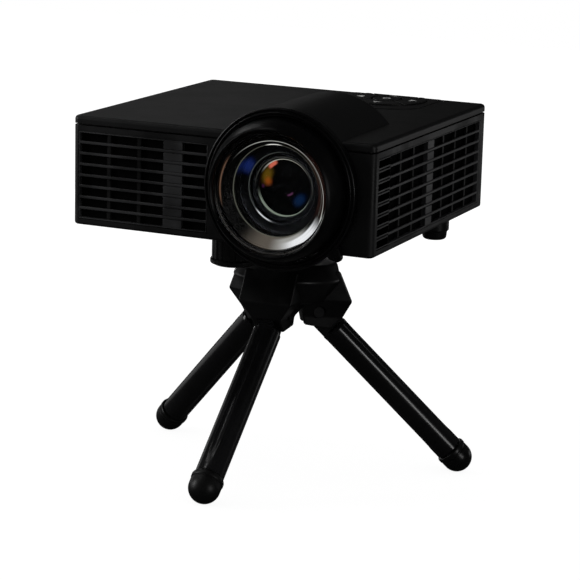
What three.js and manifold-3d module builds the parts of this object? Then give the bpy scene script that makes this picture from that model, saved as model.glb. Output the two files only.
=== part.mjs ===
// A palm-size video projector standing on a folding mini tripod.
// Millimetres, +Z up. The tripod stands on z = 0, and the origin is the middle of the object's footprint.
// Inside the projector group x runs to the right, y to the back and z up, from the middle of the
// underside's front edge. Inside the tripod group the origin is the tripod's upright axis on the table.
import * as THREE from "three";
import { mergeVertices } from "three/addons/utils/BufferGeometryUtils.js";
import Module from "manifold-3d";

const wasm = await Module();
wasm.setup();

// Driving dimensions

const gap = { running: 0.3, snug: 0.15, overrun: 2, weld: 0.0005 };

const housing = {
  width: 112.5, depth: 107.6, height: 38.2,
  wall: 1.8, cornerRadius: 2.2, edgeRadius: 1.3, bottomRadius: 0.9,
  skirt: 2.7, seam: 0.6, lipHeight: 1.2, lipThickness: 0.9,
};

const halfWidth = housing.width / 2;
const caseTop = housing.height - housing.skirt - housing.seam;

const hood = { radius: 27.3, wall: 1.6, length: 44.4, shoulder: 2.2 };

const lens = {
  fromRight: 32.95, axisZ: 20.4, focusTravel: 0.6,
  ringRadius: 27.5, ringFront: 3.2, ringEdgeShare: 0.17, ridgeDepth: 0.55,
  ridgeShares: [[0.25, 0], [0.33, 1], [0.43, 1], [0.53, 0], [0.67, 0], [0.77, 1], [1, 1]],
  noseRadius: 24.2, noseFront: 11.6, noseStraight: 3.8, rimRadius: 22, rimBore: 20.6, noseBack: 0.9,
  seatDepth: 8.4, seatBore: 19.3,
  glassEdge: 1.6, innerEdge: 2.4, glassDome: 2.6,
  coneDepth: 3.6, coneBore: 15.3,
  tubeRadius: 17.8, tubeLength: 33, tubeBore: 15, middleBore: 11.6, rearBore: 9.6,
  middleBoreStart: 0.4, rearBoreStart: 8,
};
const lensX = halfWidth - lens.fromRight;
const ringBore = lens.noseRadius + gap.running;

const lever = { tipRadius: 31.3, width: 5.6, tipWidth: 3.4, angle: -44 };

const vents = { count: 8, width: 1.8, length: 18, pitch: 4, y: 16 };

const grille = {
  thickness: 1.7, skinDepth: 0.8,
  rows: 8, bar: 0.95, lowestSlot: 2.75, aboveSlots: 2.54, frame: 0.55,
  columnBar: 1.4,
  frontLeft: 2.2, frontStrip: 7.2, lensClearance: 28.05, frontColumnShares: [0.2655, 0.2655, 0.232, 0.237],
  sideStart: 3.4, sideStrip: 10.5, sideMiddleStrip: 6, sideFirstColumns: 3, sideLastColumns: 4,
  sideEndStrip: 1, sideRear: 6.7,
};

const ports = {
  panelMargin: 10.25, panelBottom: 6, panelHeight: 21, panelThickness: 1.6,
  hdmi: { fromRight: 29.25, z: 12.2, width: 15.2, height: 5.6 },
  usb: { fromRight: 53.25, z: 13, width: 14.4, height: 7.2 },
  audio: { fromLeft: 25.25, z: 12.6, radius: 3.1, bore: 1.8 },
  power: { fromLeft: 16.25, z: 13.2, radius: 3.9, bore: 2.9, pin: 0.9 },
  window: { fromRight: 17.75, z: 19.5, radius: 2.8 },
};
const panelWidth = housing.width - 2 * ports.panelMargin;

// Where a port stands along the back: each is measured from the nearer side of the case
function portX(port) {
  return port.fromLeft === undefined ? halfWidth - port.fromRight : port.fromLeft - halfWidth;
}

const rearVents = { count: 6, width: 1.6, pitch: 4, height: 8, fromLeft: 32.25, above: 2.2 };

const socket = { depth: 12, wall: 0.6, tongue: 1.4, boardTop: 9, tongueShare: 0.7, footShare: 0.8 };

const keypad = {
  fromRight: 34.25, fromBack: 13.1, halfWidth: 18, back: 11.5, front: 22.7, cornerRadius: 1.6,
  recess: 0.9, thickness: 1.1, ledge: 1.2,
  outer: 14.6, backReach: 9.3, slit: 0.7, centreRadius: 5.2, keyProud: 0.45, keyFlange: 0.8, flangeRim: 0.5,
  keyDepth: 3.6, travel: 0.7, powerX: -13.2, powerY: -12.2, powerRadius: 2.4,
  boardMargin: 3, boardThickness: 1, boardPost: 1.3,
};
const padX = halfWidth - keypad.fromRight;
const padY = housing.depth - keypad.fromBack;

const board = {
  depth: 33.4, fromBack: 7.2, thickness: 1.6, bottom: 7.4, post: 2.4, screw: 1.1,
  screwInset: 4, screwFromFront: 13, restInset: 7, restFromBack: 6.4,
};

const engine = {
  width: 40, headroom: 1, padGap: 1.6, bottom: 9.8, cornerRadius: 3, footRadius: 2.4, footInset: 7,
  chipWidth: 22, chipHeight: 16, chipThickness: 3, chipRaise: 4,
};

const sink = {
  wallGap: 10.45, lensGap: 15.5, y: 27, depth: 21, base: 3.4, headroom: 10.45, fins: 9, fin: 1.2,
};

const fan = {
  headroom: 4.45, wallGap: 3.35, thickness: 9, y: 47, ductWall: 1.4, cornerHole: 1.5, cornerRound: 2.25,
  hub: 6, blades: 7, bladeShare: 0.95, blade: 1, sweep: 26, axle: 1, spoke: 2.2, tipGap: 0.6,
};
const insideHeight = housing.height - 2 * housing.wall;
const fanSize = insideHeight - gap.snug - fan.headroom;
const fanX = -halfWidth + housing.wall + fan.wallGap + fan.thickness / 2;
const fanDuct = fanSize / 2 - fan.ductWall;
const fanTip = fanDuct - fan.tipGap;

const engineFront = lens.tubeLength + 2 * gap.running + lens.focusTravel;
const engineDepth = padY - keypad.front - engine.padGap - engineFront;
const engineHeight = housing.height - housing.wall - engine.headroom - engine.bottom;

const sinkLeft = -halfWidth + housing.wall + sink.wallGap;
const sinkRight = lensX - lens.tubeRadius - sink.lensGap;
const sinkX = (sinkLeft + sinkRight) / 2;
const sinkWidth = sinkRight - sinkLeft;
const sinkHeight = insideHeight - gap.snug - sink.headroom;

const boardWidth = 2 * (-fanX - fan.thickness / 2 - gap.running);
const boardBack = housing.depth - board.fromBack;
const boardFront = boardBack - board.depth;

const bosses = {
  radius: 3.4, inset: 7, insetBack: 8, bore: 1.3, screwRadius: 1.1, headRadius: 2.3, headHeight: 1.3,
  thread: 1.8,
};

const frontFoot = {
  fromLens: 23.3, y: 13.5, radius: 7.9, flangeRadius: 8.4, height: 10.2, flangeHeight: 2.4,
  soleHeight: 0.8, soleRadius: 7,
  stemRadius: 3, stemReach: 8.8, ribs: 20, ribDepth: 0.4, boss: 5.4, bossHeight: 9,
};

const frontFootX = lensX - frontFoot.fromLens;

const rearFoot = {
  fromSide: 11.75, fromBack: 17.6, radius: 5.2, neckRadius: 4.6, height: 10.4, sole: 3.4, pegRadius: 1.6,
  pegLength: 3.4, soleTaperShare: 0.95, soleShare: 0.8,
};
const rearFootX = halfWidth - rearFoot.fromSide;
const rearFootY = housing.depth - rearFoot.fromBack;

const bush = { x: 0.8, fromBack: 48.8, bore: 3.6, radius: 6, height: 7.2, boss: 7.6 };
const bushY = housing.depth - bush.fromBack;

const head = {
  ballRadius: 6, ballDrop: 11.5, ballRise: 5.6, pitch: 5, pan: 2.7,
  platformRadius: 12, platformThickness: 3, padThickness: 1.4, padRadius: 11.4, neckRadius: 3.1,
  screwRadius: 3.1, screwLength: 5.6,
  cupWall: 2.6, cupLip: 2.2, cupLipRound: 0.6, flange: 1.3, collarWall: 2.2, collarLip: 1,
  ribs: 24, ribDepth: 0.5, pivotRadius: 4.6, pivotLength: 4, platformWaistShare: 0.6,
};
const cupRadius = head.ballRadius + gap.running + head.cupWall;
const collarRadius = cupRadius + gap.running + head.collarWall;

// Rises and drops are measured from the height of the legs' pins
const hub = {
  topRise: 18.2, bottomRise: 3.8, rimRise: 12.2, topRadius: 17, rimRadius: 20.2, bottomRadius: 14.6,
  socketDepth: 4.6, armWidth: 20, armToe: 11, armTopRise: 15.6, armShoulderRise: 4.7, armToeDrop: 1.6,
  armBottomDrop: 6.2, armTopReach: 17.3, armReach: 22.4, armBottomReach: 18.6, armBottomInner: 15.4,
  pivotReach: 11, pinRadius: 1.5, pinHead: 2.3, pinHeadDepth: 1,
};

const leg = {
  spread: 46.6, length: 77, radius: 5.1, knuckleRadius: 4.9, tongue: 6, shoulder: 10.3,
  flute: 0.5, fluteWidth: 2.6, footRadius: 6.2, footLength: 12.5, footPlug: 3, footFlat: 0.3,
};

const legSpread = THREE.MathUtils.degToRad(leg.spread);
const pivotHeight = leg.length * Math.cos(legSpread) + leg.footRadius - leg.footFlat;
const pinBore = hub.pinRadius + gap.snug;
const slotWidth = leg.tongue + 2 * gap.running;
const hubTop = pivotHeight + hub.topRise;
const hubBottom = pivotHeight + hub.bottomRise;
const hubRim = pivotHeight + hub.rimRise;
const armTop = pivotHeight + hub.armTopRise;
const armShoulder = pivotHeight + hub.armShoulderRise;
const armToeHeight = pivotHeight - hub.armToeDrop;
const armBottom = pivotHeight - hub.armBottomDrop;
const ballHeight = hubTop + head.ballRise;

const facets = { round: 24, medium: 16, small: 8, tiny: 6, corner: 2, pad: 6, sphere: 8 };

// Finishes

function finish(color, roughness, metalness = 0) {
  return new THREE.MeshStandardMaterial({ color, roughness, metalness });
}

const finishes = {
  shell: finish(0x121213, 0.42),
  gloss: finish(0x0c0c0d, 0.22),
  grille: finish(0x17181a, 0.5),
  rubber: finish(0x101010, 0.8),
  stand: finish(0x131315, 0.36),
  key: finish(0x18181a, 0.45),
  glass: finish(0x9fb4c8, 0.04),
  silver: finish(0xb9bbbc, 0.25, 1),
  black_metal: finish(0x1a1a1c, 0.35, 0.8),
  steel: finish(0x9a9c9f, 0.35, 1),
  brass: finish(0xb08d4c, 0.35, 1),
  aluminium: finish(0xa4a8ab, 0.45, 1),
  board: finish(0x1d4a33, 0.55),
};

// Solid modelling

function weld(geometry) {
  const bare = geometry.clone();
  bare.deleteAttribute("normal");
  bare.deleteAttribute("uv");
  const welded = mergeVertices(bare, gap.weld);
  const index = welded.index.array;
  const at = welded.attributes.position;
  const kept = [];
  let volume = 0;
  const a = new THREE.Vector3();
  const b = new THREE.Vector3();
  const c = new THREE.Vector3();
  for (let i = 0; i < index.length; i += 3) {
    const [p, q, r] = [index[i], index[i + 1], index[i + 2]];
    if (p === q || q === r || r === p) continue;
    kept.push(p, q, r);
    a.fromBufferAttribute(at, p);
    b.fromBufferAttribute(at, q);
    c.fromBufferAttribute(at, r);
    volume += a.dot(b.cross(c));
  }
  if (volume < 0) kept.reverse();
  welded.setIndex(kept);
  return welded;
}

function solid(geometry) {
  const welded = weld(geometry);
  return new wasm.Manifold(new wasm.Mesh({
    numProp: 3,
    vertProperties: new Float32Array(welded.attributes.position.array),
    triVerts: new Uint32Array(welded.index.array),
  }));
}

function geometryOf(manifold) {
  const mesh = manifold.getMesh();
  const geometry = new THREE.BufferGeometry();
  geometry.setAttribute("position", new THREE.BufferAttribute(new Float32Array(mesh.vertProperties), 3));
  geometry.setIndex(new THREE.BufferAttribute(new Uint32Array(mesh.triVerts), 1));
  return geometry;
}

function join(first, ...others) {
  return geometryOf(others.reduce((sum, next) => sum.add(solid(next)), solid(first)));
}

function cut(first, ...others) {
  return geometryOf(others.reduce((rest, next) => rest.subtract(solid(next)), solid(first)));
}

function common(first, second) {
  return geometryOf(solid(first).intersect(solid(second)));
}

// Basic forms: each stands on z = 0 unless its name says otherwise

function roundedOutline(left, right, front, back, radius) {
  const outline = new THREE.Shape();
  outline.absarc(right - radius, back - radius, radius, 0, Math.PI / 2);
  outline.absarc(left + radius, back - radius, radius, Math.PI / 2, Math.PI);
  outline.absarc(left + radius, front + radius, radius, Math.PI, 1.5 * Math.PI);
  outline.absarc(right - radius, front + radius, radius, 1.5 * Math.PI, 2 * Math.PI);
  return outline;
}

function slab(outline, height, curveSegments = facets.corner) {
  return new THREE.ExtrudeGeometry(outline, { depth: height, bevelEnabled: false, curveSegments });
}

function softSlab(outline, height, radius) {
  return new THREE.ExtrudeGeometry(outline, {
    depth: height - 2 * radius, bevelEnabled: true, bevelSize: radius, bevelThickness: radius,
    bevelOffset: -radius, bevelSegments: 2, curveSegments: facets.corner,
  }).translate(0, 0, radius);
}

function block(width, depth, height) {
  return new THREE.BoxGeometry(width, depth, height).translate(0, 0, height / 2);
}

function post(radius, height, segments = facets.small) {
  return new THREE.CylinderGeometry(radius, radius, height, segments)
    .rotateX(Math.PI / 2).translate(0, 0, height / 2);
}

function rod(radius, length, segments = facets.small) {
  return new THREE.CylinderGeometry(radius, radius, length, segments).translate(0, length / 2, 0);
}

// A profile of [radius, height] points turned about the z axis
function turned(profile, segments = facets.round) {
  return turnedAlongY(profile, segments).rotateX(Math.PI / 2);
}

// The same about the y axis, for what lies along the lens axis
function turnedAlongY(profile, segments = facets.round) {
  return new THREE.LatheGeometry(profile.map(([r, y]) => new THREE.Vector2(r, y)), segments);
}

function arcPoints(radius, from, to, steps, centreR = 0, centreH = 0) {
  return Array.from({ length: steps + 1 }, (_, i) => {
    const angle = from + ((to - from) * i) / steps;
    return [centreR + radius * Math.cos(angle), centreH + radius * Math.sin(angle)];
  });
}

function ringProfile(inner, outer, low, high) {
  return [[inner, low], [outer, low], [outer, high], [inner, high], [inner, low]];
}

// Where a rib's corners stand along its pitch, and how deep each lies
const ribShares = [[0, 0], [0.5, 0], [0.75, 1]];

function ribbedOutline(radius, ribs, depth) {
  const outline = new THREE.Shape();
  for (let i = 0; i < ribs; i += 1) {
    for (const [share, reach] of ribShares.map(([turn, fall]) => [turn, radius - fall * depth])) {
      const angle = (2 * Math.PI * (i + share)) / ribs;
      const point = [reach * Math.cos(angle), reach * Math.sin(angle)];
      if (i === 0 && share === 0) outline.moveTo(...point);
      else outline.lineTo(...point);
    }
  }
  outline.closePath();
  return outline;
}

function holeIn(outline, left, right, low, high) {
  const hole = new THREE.Path();
  hole.moveTo(left, low);
  hole.lineTo(left, high);
  hole.lineTo(right, high);
  hole.lineTo(right, low);
  hole.closePath();
  outline.holes.push(hole);
}

function place(geometry, x = 0, y = 0, z = 0) {
  return geometry.clone().translate(x, y, z);
}

function piece(parent, name, geometry, material, position = [0, 0, 0]) {
  const mesh = new THREE.Mesh(weld(geometry), material);
  mesh.name = name;
  mesh.position.set(...position);
  parent.add(mesh);
  return mesh;
}

// Housing

const rowPitch = (caseTop - grille.lowestSlot - grille.aboveSlots + grille.bar) / grille.rows;
const grilleHeight = grille.rows * rowPitch - grille.bar + 2 * grille.frame;
const grilleBottom = grille.lowestSlot - grille.frame;

// Every opening of the front grille: [from, to] along x for each slot column
function frontColumns() {
  const columns = [];
  let x = -halfWidth + grille.frontLeft + grille.frame;
  const room = lensX - grille.lensClearance - x - 2 * grille.columnBar - grille.frontStrip;
  grille.frontColumnShares.forEach((share, i) => {
    columns.push([x, x + share * room]);
    x += share * room + (i === 2 ? grille.frontStrip : grille.columnBar);
  });
  return columns;
}

// The same for a side grille, along y
function sideColumns() {
  const columns = [];
  let y = grille.sideStart + grille.sideStrip;
  const count = grille.sideFirstColumns + grille.sideLastColumns;
  const room = housing.depth - y - grille.sideMiddleStrip - grille.sideRear - (count - 2) * grille.columnBar;
  for (let i = 0; i < count; i += 1) {
    columns.push([y, y + room / count]);
    y += room / count + (i + 1 === grille.sideFirstColumns ? grille.sideMiddleStrip : grille.columnBar);
  }
  return columns;
}

const frontOpening = {
  from: -halfWidth + grille.frontLeft, to: frontColumns().at(-1)[1] + grille.frame,
};
const sideOpening = { from: grille.sideStart, to: sideColumns().at(-1)[1] + grille.sideEndStrip };

// A grille plate lying flat with its face up: thin bars across the face, and upright bars only behind them
function grillePlate(opening, columns, spans) {
  const left = opening.from + gap.snug;
  const right = opening.to - gap.snug;
  const depth = grille.thickness;
  const plate = block(right - left, grilleHeight - 2 * gap.snug, depth)
    .translate((left + right) / 2, grilleHeight / 2, 0);
  const behindFace = depth - grille.skinDepth;
  const box = (from, to, low, high, bottom) => place(
    block(to - from, high - low, depth + gap.overrun), (from + to) / 2, (low + high) / 2, bottom,
  );
  const slots = columns.map(([from, to]) => place(
    block(to - from, grilleHeight - 2 * grille.frame, behindFace + gap.overrun),
    (from + to) / 2, grilleHeight / 2, -gap.overrun,
  ));
  for (let row = 0; row < grille.rows; row += 1) {
    const low = grille.frame + row * rowPitch;
    const high = low + rowPitch - grille.bar;
    for (const [from, to] of spans) slots.push(box(from, to, low, high, behindFace));
  }
  return cut(plate, ...slots);
}

function frontGrille() {
  const columns = frontColumns();
  const spans = [[columns[0][0], columns[2][1]], columns[3]];
  return grillePlate(frontOpening, columns, spans).rotateX(Math.PI / 2)
    .translate(0, grille.thickness, grilleBottom);
}

// Made for the right side, with its face at x = 0
function sideGrille() {
  const columns = sideColumns();
  const [last, first] = [grille.sideFirstColumns - 1, grille.sideFirstColumns];
  const spans = [[columns[0][0], columns[last][1]], [columns[first][0], columns.at(-1)[1]]];
  return grillePlate(sideOpening, columns, spans).rotateX(Math.PI / 2).rotateZ(Math.PI / 2)
    .translate(-grille.thickness, 0, grilleBottom);
}

const bossPlaces = [-1, 1].flatMap((side) => [
  [side * (halfWidth - bosses.inset), bosses.inset],
  [side * (halfWidth - bosses.inset), housing.depth - bosses.insetBack],
]);
const screwPlaces = [-1, 1].map((side) => [
  side * (boardWidth / 2 - board.screwInset), boardFront + board.screwFromFront,
]);
const restPlaces = [-1, 1].map((side) => [
  side * (boardWidth / 2 - board.restInset), boardBack - board.restFromBack,
]);
const enginePlaces = [-1, 1].flatMap((side) => [engine.footInset, engineDepth - engine.footInset].map(
  (along) => [lensX + side * (engine.width / 2 - engine.footInset), engineFront + along],
));

function posts(places, radius, height, bottom, segments = facets.small) {
  return places.map(([x, y]) => place(post(radius, height, segments), x, y, bottom));
}

// A row of slots through the floor
function floorSlots(row) {
  return Array.from({ length: row.count }, (_, i) => place(
    block(row.width, row.length, housing.wall + 2 * gap.overrun),
    sinkX + (i - (row.count - 1) / 2) * row.pitch, row.y, -gap.overrun,
  ));
}

function bottomCase() {
  const outer = common(
    softSlab(
      roundedOutline(-halfWidth, halfWidth, 0, housing.depth, housing.cornerRadius),
      caseTop + gap.overrun * 2, housing.bottomRadius,
    ),
    block(2 * housing.width, 3 * housing.depth, caseTop),
  );
  const cavity = place(slab(roundedOutline(
    -halfWidth + housing.wall, halfWidth - housing.wall, housing.wall, housing.depth - housing.wall,
    housing.cornerRadius - housing.wall / 2,
  ), housing.height), 0, 0, housing.wall);
  const overWall = housing.wall + 2 * gap.overrun;
  const frontWindow = place(
    block(frontOpening.to - frontOpening.from, overWall, grilleHeight),
    (frontOpening.to + frontOpening.from) / 2, housing.wall / 2, grilleBottom,
  );
  const sideWindow = place(
    block(2 * housing.width, sideOpening.to - sideOpening.from, grilleHeight),
    0, (sideOpening.to + sideOpening.from) / 2, grilleBottom,
  );
  const rearWindow = place(
    block(panelWidth, overWall, ports.panelHeight),
    0, housing.depth - housing.wall / 2, ports.panelBottom,
  );
  const lensBore = place(
    rod(lens.tubeRadius + gap.running, overWall, facets.round), lensX, -gap.overrun, lens.axisZ,
  );
  const walls = cut(outer, cavity, frontWindow, sideWindow, rearWindow, lensBore);
  const root = housing.wall / 2;
  const additions = [
    ...posts(bossPlaces, bosses.radius, caseTop - root - gap.running, root),
    ...posts([...screwPlaces, ...restPlaces], board.post, board.bottom - root - gap.snug, root),
    ...posts(enginePlaces, engine.footRadius, engine.bottom - root - gap.snug, root),
    place(post(bush.boss, bush.height, facets.medium), bush.x, bushY, root),
    place(post(frontFoot.boss, frontFoot.bossHeight, facets.medium), frontFootX, frontFoot.y, root),
  ];
  const feet = [-1, 1].map((side) => [side * rearFootX, rearFootY]);
  const holes = [
    ...posts(bossPlaces, bosses.bore, housing.height, -gap.overrun),
    ...posts(
      bossPlaces, bosses.headRadius + gap.snug, bosses.headHeight + gap.snug + gap.overrun, -gap.overrun,
    ),
    ...posts(screwPlaces, board.screw + gap.snug, housing.height, housing.wall, facets.tiny),
    ...posts(feet, rearFoot.pegRadius + gap.snug, housing.height, -gap.overrun),
    place(post(bush.radius + gap.snug, housing.height, facets.medium), bush.x, bushY, housing.wall),
    place(post(bush.bore, housing.height), bush.x, bushY, -gap.overrun),
    place(post(frontFoot.stemRadius + gap.running, housing.height), frontFootX, frontFoot.y, -gap.overrun),
    ...floorSlots(vents),
  ];
  return cut(join(walls, ...additions), ...holes);
}

// Keypad

// The pad's outline: straight sides and back, and a front edge round the centre key
function keypadOutline(inset) {
  const half = keypad.halfWidth - inset;
  const back = keypad.back - inset;
  const front = keypad.front - inset;
  const corner = keypad.cornerRadius;
  const meets = Math.acos(half / front);
  const outline = new THREE.Shape();
  outline.absarc(half - corner, back - corner, corner, 0, Math.PI / 2);
  outline.absarc(corner - half, back - corner, corner, Math.PI / 2, Math.PI);
  outline.absarc(0, 0, front, Math.PI + meets, 2 * Math.PI - meets);
  outline.closePath();
  return outline;
}

function padSlab(inset, height, bottom) {
  return place(slab(keypadOutline(inset), height, facets.pad), padX, padY, bottom);
}

const keyTurns = { key_right: 0, key_up: Math.PI / 2, key_left: Math.PI, key_down: -Math.PI / 2 };

// The round of the four direction keys, cut off straight towards the back
function keyRound(grow, height) {
  const reach = keypad.outer + grow;
  const room = block(4 * reach, 4 * reach, height).translate(0, keypad.backReach + grow - 2 * reach, 0);
  return common(post(reach, height, facets.round), room);
}

// One quarter of that round, towards the given side, grown outwards for the rim that keeps it in
function directionKey(turn, grow) {
  const reach = 2 * keypad.outer;
  const wedge = new THREE.Shape();
  const slit = (keypad.slit / 2 - grow) * Math.SQRT2;
  wedge.moveTo(slit, 0);
  wedge.lineTo(slit + reach, -reach);
  wedge.lineTo(slit + reach, reach);
  wedge.closePath();
  const height = keypad.keyDepth;
  const centre = place(
    post(keypad.centreRadius + keypad.slit - grow, 2 * height, facets.medium), 0, 0, -height / 2,
  );
  return cut(common(keyRound(grow, height), slab(wedge, height).rotateZ(turn)), centre);
}

const padBottom = housing.height - keypad.recess;
const padTop = padBottom + keypad.thickness;
const keyTop = padTop + keypad.keyProud;
const keyBottom = keyTop - keypad.keyDepth;
const keyBoardTop = keyBottom - keypad.travel - gap.snug;

// Where the lid's posts press on the corners of the switch board
const keyBoardPlaces = [-1, 1].flatMap((side) => [-keypad.front / 2, keypad.back / 2].map(
  (y) => [padX + side * (keypad.halfWidth + keypad.boardMargin / 2), padY + y],
));

// The rim below the pad keeps the key from falling out
function withRim(cap, wider) {
  const rim = common(wider, block(4 * keypad.outer, 4 * keypad.outer, keypad.keyFlange));
  return place(join(cap, rim), 0, 0, keyBottom);
}

function roundKey(radius) {
  return withRim(post(radius, keypad.keyDepth), post(radius + keypad.flangeRim, keypad.keyDepth));
}

function topCover() {
  const below = 2 * gap.overrun;
  const outer = place(softSlab(
    roundedOutline(-halfWidth, halfWidth, 0, housing.depth, housing.cornerRadius),
    housing.skirt + below, housing.edgeRadius,
  ), 0, 0, housing.height - housing.skirt - below);
  const lid = common(outer, place(
    block(2 * housing.width, 3 * housing.depth, housing.skirt + gap.overrun),
    0, 0, housing.height - housing.skirt,
  ));
  const plate = housing.wall;
  const cavity = place(slab(roundedOutline(
    -halfWidth + housing.wall, halfWidth - housing.wall, housing.wall, housing.depth - housing.wall,
    housing.cornerRadius - housing.wall / 2,
  ), housing.skirt - plate + gap.overrun), 0, 0, housing.height - housing.skirt - gap.overrun);
  const inset = housing.wall + gap.snug;
  const hollowed = inset + housing.lipThickness;
  const lip = place(cut(
    slab(
      roundedOutline(
        -halfWidth + inset, halfWidth - inset, inset, housing.depth - inset, housing.cornerRadius / 2,
      ),
      housing.skirt + housing.lipHeight + housing.seam - plate / 2,
    ),
    place(slab(roundedOutline(
      -halfWidth + hollowed, halfWidth - hollowed, hollowed, housing.depth - hollowed,
      housing.cornerRadius / 3,
    ), housing.height), 0, 0, -gap.overrun),
  ), 0, 0, housing.height - housing.skirt - housing.lipHeight - housing.seam);
  const bulge = place(turnedAlongY([
    [0, 0], [hood.radius, 0], [hood.radius, hood.length - hood.shoulder],
    ...arcPoints(hood.shoulder, 0, Math.PI / 2, 4, hood.radius - hood.shoulder, hood.length - hood.shoulder),
    [0, hood.length],
  ]), lensX, 0, lens.axisZ);
  const aboveLid = place(
    block(4 * hood.radius, 4 * housing.depth, 2 * hood.radius), lensX, 0, housing.height - plate,
  );
  const inner = hood.radius - hood.wall;
  const hollow = place(
    rod(inner, hood.length - hood.wall + gap.overrun, facets.round), lensX, -gap.overrun, lens.axisZ,
  );
  const brow = cut(
    common(place(rod(inner + gap.snug, housing.wall, facets.round), lensX, 0, lens.axisZ), aboveLid),
    place(rod(lens.tubeRadius + gap.running, housing.depth, facets.round), lensX, -gap.overrun, lens.axisZ),
  );
  const screwLand = posts(bossPlaces, bosses.radius, housing.height - plate / 2 - caseTop, caseTop);
  const postFoot = keyBoardTop + gap.snug;
  const boardPosts = keyBoardPlaces.map(([x, y]) => place(
    post(keypad.boardPost, housing.height - plate / 2 - postFoot, facets.tiny), x, y, postFoot,
  ));
  const shell = join(cut(lid, cavity), lip, common(bulge, aboveLid), ...screwLand, ...boardPosts);
  const keyWell = padSlab(0, housing.height, padBottom);
  const keyOpening = padSlab(keypad.ledge, housing.height, padBottom - housing.height / 2);
  const threads = posts(
    bossPlaces, bosses.bore - gap.snug, bosses.thread + gap.overrun, caseTop - gap.overrun, facets.tiny,
  );
  return cut(join(cut(shell, hollow), brow), keyWell, keyOpening, ...threads);
}

function keypadBezel() {
  const plate = padSlab(gap.snug, keypad.thickness, padBottom);
  const sleeve = padSlab(keypad.ledge + gap.snug, 2 * keypad.thickness, padBottom - keypad.thickness);
  const low = padBottom - 2 * keypad.thickness;
  const height = 2 * (padTop - low);
  const wells = [
    place(keyRound(gap.running, height), padX, padY, low),
    place(
      post(keypad.powerRadius + gap.running, height),
      padX + keypad.powerX, padY + keypad.powerY, low,
    ),
  ];
  return cut(join(plate, sleeve), ...wells);
}

// Lens

const lensBack = lens.noseBack;

function focusRing() {
  const width = lens.ringRadius - ringBore;
  const step = width * lens.ringEdgeShare;
  const front = -lens.ringFront;
  const profile = [
    [ringBore, -gap.running],
    [lens.ringRadius - step / 2, -gap.running],
    [lens.ringRadius, -gap.running - step / 2],
    [lens.ringRadius, front + step],
    [lens.ringRadius - step / 2, front + step / 4],
    ...lens.ridgeShares.map(([inwards, depth]) => [
      lens.ringRadius - inwards * width, front + depth * lens.ridgeDepth,
    ]),
    [ringBore, -gap.running],
  ];
  const start = lens.ringRadius - step;
  const outline = new THREE.Shape();
  outline.moveTo(start, -lever.width / 2);
  outline.lineTo(lever.tipRadius - lever.tipWidth / 2, -lever.tipWidth / 2);
  outline.absarc(lever.tipRadius - lever.tipWidth / 2, 0, lever.tipWidth / 2, -Math.PI / 2, Math.PI / 2);
  outline.lineTo(start, lever.width / 2);
  outline.closePath();
  const thickness = lens.ringFront - gap.running - step;
  const tab = slab(outline, thickness, facets.corner).rotateX(Math.PI / 2).translate(0, -gap.running, 0)
    .rotateY(-THREE.MathUtils.degToRad(lever.angle));
  return join(turnedAlongY(profile), tab);
}

function lensNose() {
  const rimLip = (lens.rimRadius - lens.rimBore) / 2;
  const steps = 4;
  const flank = Array.from({ length: steps + 1 }, (_, i) => {
    const share = i / steps;
    const drop = (lens.noseRadius - lens.rimRadius) * share * share;
    const run = lens.noseFront - rimLip - lens.noseStraight;
    return [lens.noseRadius - drop, -lens.noseStraight - run * share];
  });
  return turnedAlongY([
    [lens.seatBore, -lensBack], [lens.noseRadius, -lensBack], ...flank,
    [lens.rimRadius - rimLip, -lens.noseFront], [lens.rimBore, -lens.noseFront + rimLip],
    [lens.rimBore, -lens.seatDepth], [lens.seatBore, -lens.seatDepth], [lens.seatBore, -lensBack],
  ]);
}

// A lens element: a disc with a crowned front and a hollowed back
function element(radius, edge, crown, hollow, segments = facets.round) {
  const steps = 4;
  const front = Array.from({ length: steps + 1 }, (_, i) => {
    const share = i / steps;
    return [radius * share, -edge - crown * (1 - share * share)];
  });
  const back = Array.from({ length: steps + 1 }, (_, i) => {
    const share = 1 - i / steps;
    return [radius * share, -hollow * (1 - share * share)];
  });
  return turnedAlongY([...front, ...back], segments);
}

const coneFront = -lens.seatDepth + gap.running;
const coneBack = coneFront + lens.coneDepth;

function coneRing() {
  const outer = lens.seatBore - gap.running;
  const lip = gap.running;
  return turnedAlongY([
    [lens.coneBore, coneBack], [outer, coneBack], [outer, coneFront], [outer - lip, coneFront],
    [outer - 2 * lip, coneFront + lip],
    [lens.coneBore + lip, coneBack - 2 * lip], [lens.coneBore, coneBack - lip], [lens.coneBore, coneBack],
  ]);
}

function lensTube() {
  const flange = lens.seatBore - gap.running;
  const front = coneBack + gap.running;
  return turnedAlongY([
    [lens.tubeBore, front], [flange, front], [flange, -lensBack], [lens.tubeRadius, -lensBack],
    [lens.tubeRadius, lens.tubeLength], [lens.rearBore, lens.tubeLength], [lens.rearBore, lens.rearBoreStart],
    [lens.middleBore, lens.rearBoreStart], [lens.middleBore, lens.middleBoreStart],
    [lens.tubeBore, lens.middleBoreStart], [lens.tubeBore, front],
  ], facets.medium);
}

function retainer(inner, outer, depth, chamfer) {
  return turnedAlongY([
    [inner, 0], [outer, 0], [outer, -depth], [inner + chamfer, -depth], [inner, -depth + chamfer], [inner, 0],
  ]);
}

// Inside

function sidePort(port, depth) {
  return place(block(port.width, depth, port.height), portX(port), 0, port.z - port.height / 2);
}

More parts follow.
